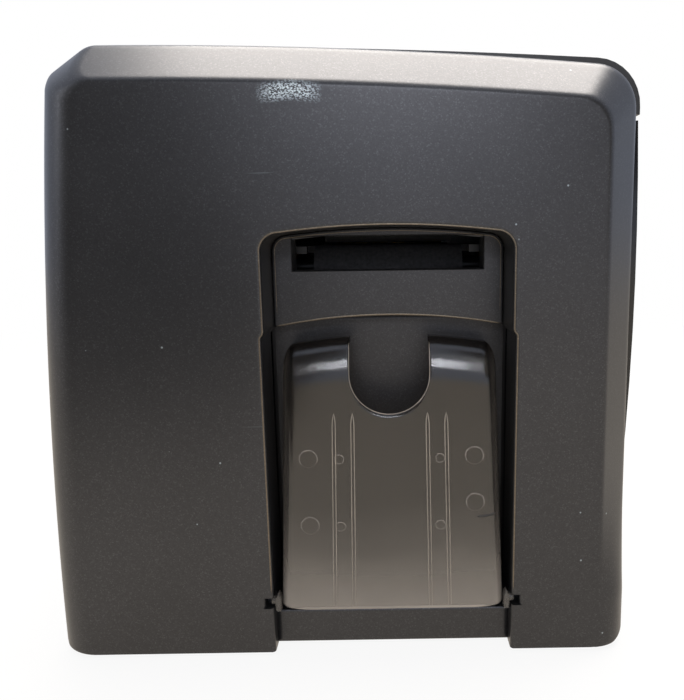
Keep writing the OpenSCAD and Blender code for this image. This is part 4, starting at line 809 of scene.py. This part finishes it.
def painted_highlight_edges():
    """Pale beads along the edges of recess, lip and panel: a painted highlight where the rounded edges catch
    the light.
    """
    r = size("arris")
    arris = recess(r * 0.45)
    arris = at_depth(arris[arris[:, 1] > FOOT + 20.5], r * 0.12)
    lip_y = np.linspace(-38.6, 38.6, 61)
    lip = at_depth(columns(PATH_Y + lip_y, lip_at(lip_y) + 0.35), PANEL_IN + 0.05)
    rim = at_depth(above_lip(-1.1), PANEL_IN + 0.02)
    beads = ((arris, 0.24, 0.08), (lip, 0.36, 0.14), (rim, 0.12, 0.06))
    lines = joined(*(bead(path, FACE_OUT, half, high) for path, half, high in beads))
    # a lighter paint that paints the highlight along these edges
    paint = material("metallic_paint_painted_highlight", metallic_paint, "#6d6458")
    piece("painted_highlight_edges", lines, paint, "housing", "gunmetal_paint", **BEADS)


def tray_pocket():
    """The wall behind the tray and the pocket's sides, as one dished sheet."""
    turned = np.array([18.0, 21.0, 24.0])
    flat = np.linspace(-POCKET_HALF, POCKET_HALF, 41)
    across = np.concatenate([[-POCKET_HALF] * 3, flat, [POCKET_HALF] * 3])
    back = np.concatenate([turned, np.full(41, POCKET_IN), turned[::-1]])
    rows = [at_depth(columns(PATH_Y + across, z), back) for z in np.linspace(SILL_Z, 116, 40)]
    painted_piece("tray_pocket", skin(rows, flip=True), wall=2.0)


def sill_panel():
    """The sill below the tray. Its section runs from behind its foot, round the foot, up the face
    and back over the pocket's floor."""
    section = np.concatenate([
        [(SILL_IN + 2.5, FOOT)],
        turn((SILL_IN + 1, FOOT), (SILL_IN, FOOT), (SILL_IN, FOOT + 1), 5),
        line((SILL_IN, FOOT + 1.2), (SILL_IN, SILL_Z - 1.2), 6),
        turn((SILL_IN, SILL_Z - 1), (SILL_IN, SILL_Z), (SILL_IN + 1, SILL_Z), 5),
        [(POCKET_IN + 1.5, SILL_Z)]])
    across = PATH_Y + np.linspace(-POCKET_HALF - 0.5, POCKET_HALF + 0.5, 41)
    rows = [columns(depth - FACE_X, across, z) for depth, z in section]
    painted_piece("sill_panel", skin(rows, flip=True), wall=2.0)


def input_end_cover():
    """The right end cover, from the collar of the hopper door's opening over the face and the bevel
    to the seam, and back along the inside of the moulding."""
    low_z, high_z, collar = 131.5, 173.5, 6.5
    middle = np.array([PATH_Y, (low_z + high_z) / 2])
    half = np.array([31.0, (high_z - low_z) / 2])
    outer = [row[:-1] for row in outer_rows(PATH_Y, PATH_Y, sign=-1)]
    inside = [row[:-1] for row in outer_rows(PATH_Y, PATH_Y, sign=-1, skin_in=WALL)]
    opening = toward_opening(outer[0][:, 1:], middle, half)
    edge = ((0, collar), (0, 0.35), (0.1, 0.1), (0.35, 0))
    rows = [at_depth(opening(gap), depth, -1) for gap, depth in edge]
    rows += between(rows[-1], outer[0], (0.04, 0.2, 0.45, 0.7, 0.9)) + outer + inside[::-1]
    rows += [at_depth(opening(WALL), depth, -1) for depth in (WALL, collar)] + [rows[0]]
    painted_piece("input_end_cover", skin(rows, closed=True, flip=True), "right_end_cover", **COVER)


def seam_flanges():
    """Behind each front seam a flange of the moulding, which keeps light out of its foot."""
    z = np.linspace(FOOT + 4.5, 62, 14)
    front = front_at(z, WALL + 1.1)
    section = ((10.0, 0.0), (21.0, 0.0), (21.5, 0.5), (21.0, 1.0), (10.0, 1.0))
    strips = []
    for side in (1, -1):
        rows = [columns(side * (depth - FACE_X), front + inward, z) for depth, inward in section]
        strips.append(skin(np.stack(rows, 1), closed=True))
    dark = finish_for("dark_plastic")
    piece("seam_flanges", joined(*strips), dark, "housing", "dark_plastic", turned_out=True, **COVER)


# ---------- the card tray ----------


def tray_share(z):
    """The share of the tray's height that lies below a place."""
    return (z - TRAY_Z) / TRAY_TALL


def tray_face(share):
    """The X of the tray's face, which leans back in a straight line."""
    return -TRAY_FRONT_X + TRAY_LEAN * share


def round_reach(share):
    """How far the side rounds and the rolled top reach back: 3 mm at the foot and up to 5.5 mm more,
    with the height's share to the power of 0.7."""
    return 3.0 + 5.5 * np.clip(share, 0, 1) ** 0.7


def rolled(z):
    """How far the rolled top has turned back at a height, as a quarter circle over its reach."""
    return fallen(np.clip((z - TRAY_TOP + ROLL_TALL) / ROLL_TALL, 0, 1))


def card_tray():
    """The tray's dished face with its rolled top, round sides and foot, and its thumb notch, as a
    grid of rows. It is made in a lower zone and one zone on each side of the notch."""
    # across: side wall, side round, face, side round, side wall. u is how far round each side is
    turn_u = np.sin(quarter(10))[1:]
    wall_steps = np.array([0.35, 0.7, 1.0])
    face_y = np.concatenate([np.linspace(-FLAT_HALF, FLAT_HALF, 69), [-THUMB_R, THUMB_R]])
    face_y = np.unique(np.round(face_y, 3))
    u = np.concatenate([-np.ones(3), -turn_u[::-1], np.zeros(len(face_y)), turn_u, np.ones(3)])
    share = np.concatenate([-np.ones(12), face_y / FLAT_HALF, np.ones(12)])
    wall = np.concatenate([wall_steps[::-1], np.zeros(len(face_y) + 18), wall_steps])

    def surface(v, z_core, back, radius, column=slice(None)):
        """One row of the tray at a core height: v is how far round the foot or the top it is, from
        -1 to 1, and back how far down the wall. A corner is a square of turns mapped to a disc."""
        uu, ss, ww = u[column], share[column], wall[column]
        rise = tray_share(z_core)
        y = (TRAY_HALF - TRAY_TAPER * rise - SIDE_R) * ss + SIDE_R * uu * np.sqrt(1 - v * v / 2)
        z = z_core + radius * v * np.sqrt(1 - uu * uu / 2)
        # the upper edge is arched, from the notch outward
        z = z - TRAY_ARCH * np.maximum(y * y - THUMB_R**2, 0) * np.clip((rise - 0.72) / 0.19, 0, 1)
        kept = np.sqrt(1 - uu * uu) * math.sqrt(1 - min(v, 0) ** 2)
        kept = kept * (1 - rolled(z_core + radius * max(v, 0)))
        depth = TRAY_LEAN * rise + round_reach(rise) * (1 - kept)
        depth = depth + np.maximum(ww, back) * np.maximum(11.5 - depth * 0.55, 1.0)
        return columns(depth - TRAY_FRONT_X, PATH_Y + y, z)

    def zone(column, lower):
        """Rows of one upright zone of the tray. lower gives the core height at which it starts."""
        top = np.full(len(u[column]), TRAY_TOP - TOP_R)
        heights = between(lower[column], top, np.linspace(0, 1, 10))
        rows = [surface(0.0, height, 0.0, TOP_R, column) for height in heights]
        rows += [surface(float(v), top, 0.0, TOP_R, column) for v in np.sin(quarter(16))[1:]]
        return rows + [surface(1.0, top, 0.55, TOP_R, column)]

    real_y = (TRAY_HALF - SIDE_R) * share * (1 - TRAY_TAPER * 0.8 / TRAY_HALF)
    start = THUMB_Z - np.sqrt(np.maximum(THUMB_R**2 - real_y**2, 0))
    foot = np.full(len(u), TRAY_Z + FOOT_R)
    rows = [surface(-1.0, foot, back, FOOT_R) for back in (1.0, 0.5)]
    rows += [surface(-float(v), foot, 0.0, FOOT_R) for v in np.sin(quarter(9))[::-1]]
    heights = between(foot, start, np.linspace(0, 1, 44)[1:])
    rows += [surface(0.0, height, 0.0, FOOT_R) for height in heights]
    left = np.arange(len(u))[real_y <= -THUMB_R + 0.35]
    right = np.arange(len(u))[real_y >= THUMB_R - 0.35]
    skins = joined(*(skin(part, flip=True) for part in (rows, zone(left, start), zone(right, start))))
    piece("card_tray", skins, finish_for("smoke_clear"), "tray", "smoke_clear", "output_tray",
          sharp=30, merge=0.02, wall=size("tray_wall"))


def rib(place_y):
    """A raised double bead that runs up, turns at a point and runs down again."""
    up = np.linspace(TRAY_Z + 0.6, RIB_TIP, 50)
    z = np.concatenate([up, up[::-1][1:]])
    side = np.concatenate([-np.ones(50), np.ones(49)])
    share = tray_share(z)
    middle = (FLAT_HALF - TRAY_TAPER * share) * place_y / FLAT_HALF
    y = middle + side * 0.52 * np.clip((RIB_TIP - z) / 3.5, 0, 1) ** 0.7
    foot = fallen(np.clip((TRAY_Z + FOOT_R - z) / FOOT_R, 0, 1))
    return bead(columns(tray_face(share) + 3.0 * foot, PATH_Y + y, z), TRAY_OUT, 0.17, 0.26)


def thumb_edge():
    """The moulded edge round the thumb notch: down one side, round its half circle, up the other."""
    a = np.radians(np.linspace(180, 360, 41))
    side_z = np.linspace(THUMB_Z, TRAY_TOP - 1.2, 16)[1:]
    z = np.concatenate([side_z[::-1], THUMB_Z + THUMB_R * np.sin(a), side_z])
    y = np.concatenate([np.full(15, -THUMB_R), THUMB_R * np.cos(a), np.full(15, THUMB_R)]) * 1.006
    share = tray_share(np.minimum(z, TRAY_TOP - TOP_R))
    x = tray_face(share) + round_reach(share) * rolled(z) + 0.1
    return bead(columns(x, PATH_Y + y, z), TRAY_OUT, 0.13, 0.16)


def foot_fillet():
    """The thick fillet along the tray's foot, which thins out as a square root over its last 6 mm."""
    y = np.linspace(-33.8, 33.8, 60)
    fade = np.clip((33.8 - np.abs(y)) / 6, 0.05, 1)[:, None, None] ** 0.5
    path = columns(-TRAY_FRONT_X + 0.5, PATH_Y + y, TRAY_Z + 1.1)
    return bead(path, TRAY_OUT, 0.5 * fade, 0.1 * fade)


def tray_beads():
    """The ribs, the notch's edge and the foot's fillet in a pale clear plastic, which paints the highlight
    that their edges catch.
    """
    # the pale colour is a painted highlight on the beads
    clear = material("clear_polycarbonate_painted_highlight", moulded_plastic, "#a1988e", 0.2, 1.0, 0.02, 0.25)
    beads = joined(*(rib(y) for y in RIBS), thumb_edge(), foot_fillet())
    piece("tray_beads", beads, clear, "tray", "smoke_clear", **BEADS)


def tray_scuff():
    """A short dark scuff at the tray's front side, which follows the side round."""
    y = np.linspace(28.9, 35.2, 20)
    z = 48.9 + 1.1 * ((y - 28.9) / 6.3) ** 3
    share = tray_share(z)
    turned = np.clip((y - TRAY_HALF + TRAY_TAPER * share + SIDE_R) / SIDE_R, 0, 1)
    x = tray_face(share) + round_reach(share) * fallen(turned)
    dark = material("dark_scuff", moulded_rubber, "#191614", 0.5)
    scuff = bead(columns(x, PATH_Y - y, z), TRAY_OUT, 0.42, 0.16)
    piece("tray_scuff", scuff, dark, "tray", "smoke_clear", **BEADS)


def pivot_ears():
    """Clear tabs with a pointed top beside the tray's foot, each round a pivot pin."""
    ear = np.concatenate([
        turn((0.0, 0.6), (0.0, 0.0), (0.6, 0.0), 5), turn((1.5, 0.0), (2.1, 0.0), (2.1, 0.6), 5),
        turn((2.1, 4.2), (2.1, 4.7), (1.7, 5.4), 5), turn((1.2, 6.4), (0.9, 7.0), (0.7, 6.4), 5),
        turn((0.3, 5.4), (0.0, 5.0), (0.0, 4.6), 5)])
    centre = ear.mean(0)
    layers = ((0.9, 0.0), (0.9, 0.85), (1.2, 1.0), (3.6, 1.0), (3.9, 0.85), (3.9, 0.0))
    pin = [(0.0, 0.0), (0.0, 1.5), (2.4, 1.5), (2.8, 1.1), (2.8, 0.0)]
    parts = []
    for side in (-1, 1):
        rows = []
        for depth, share in layers:
            loop = centre + (ear - centre) * share
            place = columns(PATH_Y + side * (TRAY_HALF - 0.2 + loop[:, 0]), TRAY_Z + 0.3 + loop[:, 1])
            rows.append(at_depth(place, depth))
        parts.append(skin(rows, closed=True, flip=side > 0))
        pivot = (-FACE_X + 2.7, PATH_Y + side * (TRAY_HALF + 0.6), TRAY_Z + 3.9)
        parts.append(revolved([(side * along, radius) for along, radius in pin[::side]], pivot, 1, 24))
    clear = material("clear_polycarbonate", moulded_plastic, "#57534f", 0.16, 1.0, 0.0, 0.3)
    piece("tray_pivot_ears", joined(*parts), clear, "tray", "smoke_clear",
          sharp=40, merge=0.01, turned_out=True)


def mould_marks():
    """The ejector marks: fine rings a few hundredths proud of the face, at (across, height, radius). Their
    pale clear plastic is a painted highlight on the rings.
    """
    marks = ((-27.4, 69.5, 3.0), (-27.4, 46.5, 3.0), (28.0, 70.0, 3.0), (28.3, 54.0, 3.0),
             (-17.1, 69.3, 1.5), (16.6, 69.3, 1.5), (-17.1, 46.0, 1.6), (16.6, 46.2, 1.6))
    section = ((0.02, -0.2), (-0.09, -0.12), (-0.09, 0.12), (0.02, 0.2), (0.02, -0.2))
    rings = []
    for y, z, radius in marks:
        profile = [(depth, radius + out) for depth, out in section]
        rings.append(revolved(profile, (tray_face(tray_share(z)), PATH_Y - y, z), 0, 40))
    # a pale plastic that paints the highlight on the rings
    clear = material("clear_mark_painted_highlight", moulded_plastic, "#a39a91", 0.25, 1.0, 0.02, 0.62)
    piece("tray_mould_marks", joined(*rings), clear, "tray", "smoke_clear", **BEADS)


# ---------- the stage ----------

# the photograph's camera, fitted to 38 points of the end face
PHOTO_PIXELS = 700
FOCAL_PIXELS = 678.8
SHIFT_PIXELS = (-54.9, 15.4)
CAMERA_PLACE = (-0.3871, -0.01855, 0.1403)
YAW, PITCH, ROLL = 0.005, 0.18, -0.013
SENSOR_MM = 36


def shown(tree):
    """Two shares: 1 for the rays that show the surround, straight or in a reflection or through clear
    plastic, and 0 for those that only light the object; and 1 for those in a reflection alone."""
    seen = add(tree, "ShaderNodeLightPath").outputs
    rays = maths(tree, "MAXIMUM", seen["Is Camera Ray"], seen["Is Glossy Ray"])
    return maths(tree, "MAXIMUM", rays, seen["Is Transmission Ray"]), seen["Is Glossy Ray"]


def pale_table(tree, place):
    """A pale painted table. What shows of it is mostly plain white and keeps a faint shadow, and in
    reflections it is faintly warm, as in the photograph."""
    shade = ramp(tree, noise(tree, place, 3.0), (0.3, linear(colours().floor)), (0.7, linear("#f6f5f3")))
    plain = add(tree, "ShaderNodeBsdfDiffuse", {"Color": shade})
    rays, glossy = shown(tree)
    white = mix(tree, glossy, (1, 1, 1, 1), linear("#fff3e2"))
    bright = add(tree, "ShaderNodeEmission", {"Color": white, "Strength": 1.0})
    # the white's share grows from 0.9 within 0.3 m to all of it past 0.9 m
    distance = add(tree, "ShaderNodeVectorMath", {0: place}, operation="LENGTH").outputs["Value"]
    far = add(tree, "ShaderNodeMapRange", {0: distance, 1: 0.3, 2: 0.9, 3: 0.9, 4: 1.0}).outputs[0]
    share = maths(tree, "MULTIPLY", rays, far)
    return add(tree, "ShaderNodeMixShader", {0: share, 1: plain.outputs[0], 2: bright.outputs[0]}).outputs[0]


def flag_cloth(tree, place):
    """Matt black cloth with a weave of 2.5 mm."""
    shade = ramp(tree, noise(tree, place, 400.0), (0.3, 0.012), (0.7, 0.02))
    return add(tree, "ShaderNodeBsdfDiffuse", {"Color": shade}).outputs[0]


def pale_room(scene):
    """The surround: a soft grey light on the object, and white where it shows, faintly cool in
    reflections."""
    scene.world = bpy.data.worlds.new("pale_room")
    scene.world.use_nodes = True
    tree = scene.world.node_tree
    tree.nodes.clear()
    rays, glossy = shown(tree)
    lit = add(tree, "ShaderNodeBackground", {"Color": linear("#e8e9ec"), "Strength": 0.45})
    tint = mix(tree, glossy, (1, 1, 1, 1), linear("#e2ebff"))
    white = add(tree, "ShaderNodeBackground", {"Color": tint, "Strength": 1.0})
    mixed = add(tree, "ShaderNodeMixShader", {0: rays, 1: lit.outputs[0], 2: white.outputs[0]})
    add(tree, "ShaderNodeOutputWorld", {0: mixed.outputs[0]})


def placed(scene, name, data, right, up, forward, place):
    """Puts a lamp or camera at a place, looking forward."""
    made = bpy.data.objects.new(name, data)
    scene.collection.objects.link(made)
    made.matrix_world = Matrix([[right[i], up[i], -forward[i], place[i]] for i in range(3)] + [[0, 0, 0, 1]])
    return made


def lamp(scene, name, place, target, width, height, power, tint="#ffffff"):
    """A soft rectangular lamp that points from its place to its target, both in metres."""
    data = bpy.data.lights.new(name, "AREA")
    data.shape = "RECTANGLE"
    data.size, data.size_y, data.energy = width, height, power
    data.color = linear(tint)[:3]
    forward = np.array(target, float) - np.array(place, float)
    forward /= np.linalg.norm(forward)
    side = np.cross(forward, (0, 0, 1.0) if abs(forward[2]) < 0.95 else (0, 1.0, 0))
    side /= np.linalg.norm(side)
    placed(scene, name, data, side, np.cross(side, forward), forward, place)


def dark_flag():
    """A dark flag that only reflections see: it grades the upper rear and the upper front of the
    painted end. One part lies just above the floor and rises beyond, the other hangs above."""
    section = np.concatenate([line((-460, 4), (-800, 4), 4), line((-800, 5), (-800, 1100), 5)])
    rear = [columns(x, np.linspace(110, 1100, 5), z) for x, z in section]
    upper = [columns(-800.0, np.linspace(-1100, -240, 5), z) for z in np.linspace(210, 1100, 5)]
    flag = mesh_object("flag", joined(skin(rear), skin(upper)), material("black_flag_cloth", flag_cloth), 60)
    flag.visible_camera = False
    flag.visible_shadow = False
    flag.visible_diffuse = False
    flag.visible_transmission = False


def photo_camera(scene):
    """The photograph's camera: it looks along +X, turned by its roll, then its pitch, then its yaw."""
    level = np.array([[math.cos(ROLL), math.sin(ROLL), 0], [-math.sin(ROLL), math.cos(ROLL), 0], [0, 0, 1.0]])
    across, tall, ahead = level.T
    up = math.cos(PITCH) * tall - math.sin(PITCH) * ahead
    ahead = math.sin(PITCH) * tall + math.cos(PITCH) * ahead
    right = math.cos(YAW) * across + math.sin(YAW) * ahead
    forward = -math.sin(YAW) * across + math.cos(YAW) * ahead
    axes = columns(forward, -right, up)
    data = bpy.data.cameras.new("camera")
    data.sensor_width = SENSOR_MM
    data.lens = FOCAL_PIXELS / PHOTO_PIXELS * SENSOR_MM
    data.shift_x, data.shift_y = SHIFT_PIXELS[0] / PHOTO_PIXELS, SHIFT_PIXELS[1] / PHOTO_PIXELS
    data.clip_start = 0.01
    scene.camera = placed(scene, "camera", data, *axes, CAMERA_PLACE)


# ---------- operators ----------


class PRINTER_OT_finishes(bpy.types.Operator):
    """The finish of every part that is carried over from the frame"""

    bl_idname = "printer.finishes"
    bl_label = "Finishes"

    def execute(self, context):
        slots = {p["node"]: p["material_slot"] for p in frame["record"]["subparts"]}
        for name, node in frame["nodes"].items():
            node.data.materials.clear()
            # darker finishes, some of them painted shade for the parts inside the exit slot
            node.data.materials.append(finish_for(DARKER_AND_SHADED.get(name, slots[name])))
        return {"FINISHED"}


class PRINTER_OT_output_end(bpy.types.Operator):
    """The left end cover: its bevelled face, the arched recess with its rounded edge, the exit panel
    with the card slot and lip, the pocket behind the tray and the sill below it"""

    bl_idname = "printer.output_end"
    bl_label = "Output end cover"

    def execute(self, context):
        output_end_cover()
        exit_panel()
        painted_highlight_edges()
        tray_pocket()
        sill_panel()
        return {"FINISHED"}


class PRINTER_OT_input_end(bpy.types.Operator):
    """The right end cover: its bevelled face, the hopper door's opening with its collar, the inside of
    the moulding, and the flanges behind both front seams"""

    bl_idname = "printer.input_end"
    bl_label = "Input end cover"

    def execute(self, context):
        input_end_cover()
        seam_flanges()
        return {"FINISHED"}


class PRINTER_OT_card_tray(bpy.types.Operator):
    """The smoky card tray: a dished face with a rolled top, a thumb notch, four moulded ribs,
    ejector marks, a scuff and the ears that hold its pivots"""

    bl_idname = "printer.card_tray"
    bl_label = "Card tray"

    def execute(self, context):
        card_tray()
        tray_beads()
        tray_scuff()
        pivot_ears()
        mould_marks()
        return {"FINISHED"}


class PRINTER_OT_stage(bpy.types.Operator):
    """The pale floor and surround, the soft lamps, the flag and the camera at the photograph's place"""

    bl_idname = "printer.stage"
    bl_label = "Stage"

    def execute(self, context):
        scene = context.scene
        scene.view_settings.view_transform = "Standard"
        reach = np.linspace(-4000, 4000, 9)
        table = skin([columns(x, reach, 0.0) for x in reach], flip=True)
        mesh_object("floor", table, material("pale_floor", pale_table), 60)
        pale_room(scene)
        lamp(scene, "overhead", (0.1, -0.12, 1.1), (0.0, -0.08, 0.15), 0.55, 0.95, 22, "#fff8ee")
        lamp(scene, "front_fill", (-1.5, -0.9, 0.9), (-0.15, 0.0, 0.1), 1.0, 0.8, 4, "#fff8f0")
        lamp(scene, "ceiling_strip", (-1.2, -0.02, 0.56), (-0.17, -0.02, 0.12), 0.42, 0.13, 2.7, "#f4f7ff")
        lamp(scene, "rear_fill", (-0.9, 1.5, 0.8), (-0.1, 0.0, 0.1), 0.8, 0.8, 4)
        dark_flag()
        photo_camera(scene)
        return {"FINISHED"}


class PRINTER_PT_panel(bpy.types.Panel):
    """The sizes, colours and steps of the card printer in the 3D view's sidebar"""

    bl_label = "Card printer"
    bl_idname = "PRINTER_PT_panel"
    bl_space_type = "VIEW_3D"
    bl_region_type = "UI"
    bl_category = "Card Printer"

    def draw(self, context):
        for group in (context.scene.printer_sizes, context.scene.printer_colours):
            for name in group.__annotations__:
                self.layout.prop(group, name)
        for step in STEPS:
            self.layout.operator(step.bl_idname)


STEPS = (
    PRINTER_OT_finishes, PRINTER_OT_output_end, PRINTER_OT_input_end, PRINTER_OT_card_tray, PRINTER_OT_stage)
CLASSES = (PRINTER_PG_sizes, PRINTER_PG_colours) + STEPS + (PRINTER_PT_panel,)


def register():
    for made in CLASSES:
        bpy.utils.register_class(made)
    bpy.types.Scene.printer_sizes = bpy.props.PointerProperty(type=PRINTER_PG_sizes)
    bpy.types.Scene.printer_colours = bpy.props.PointerProperty(type=PRINTER_PG_colours)


def unregister():
    del bpy.types.Scene.printer_colours
    del bpy.types.Scene.printer_sizes
    for made in reversed(CLASSES):
        bpy.utils.unregister_class(made)


def main():
    register()
    for step in STEPS:
        group, name = step.bl_idname.split(".")
        getattr(getattr(bpy.ops, group), name)()


if __name__ == "__main__":
    main()
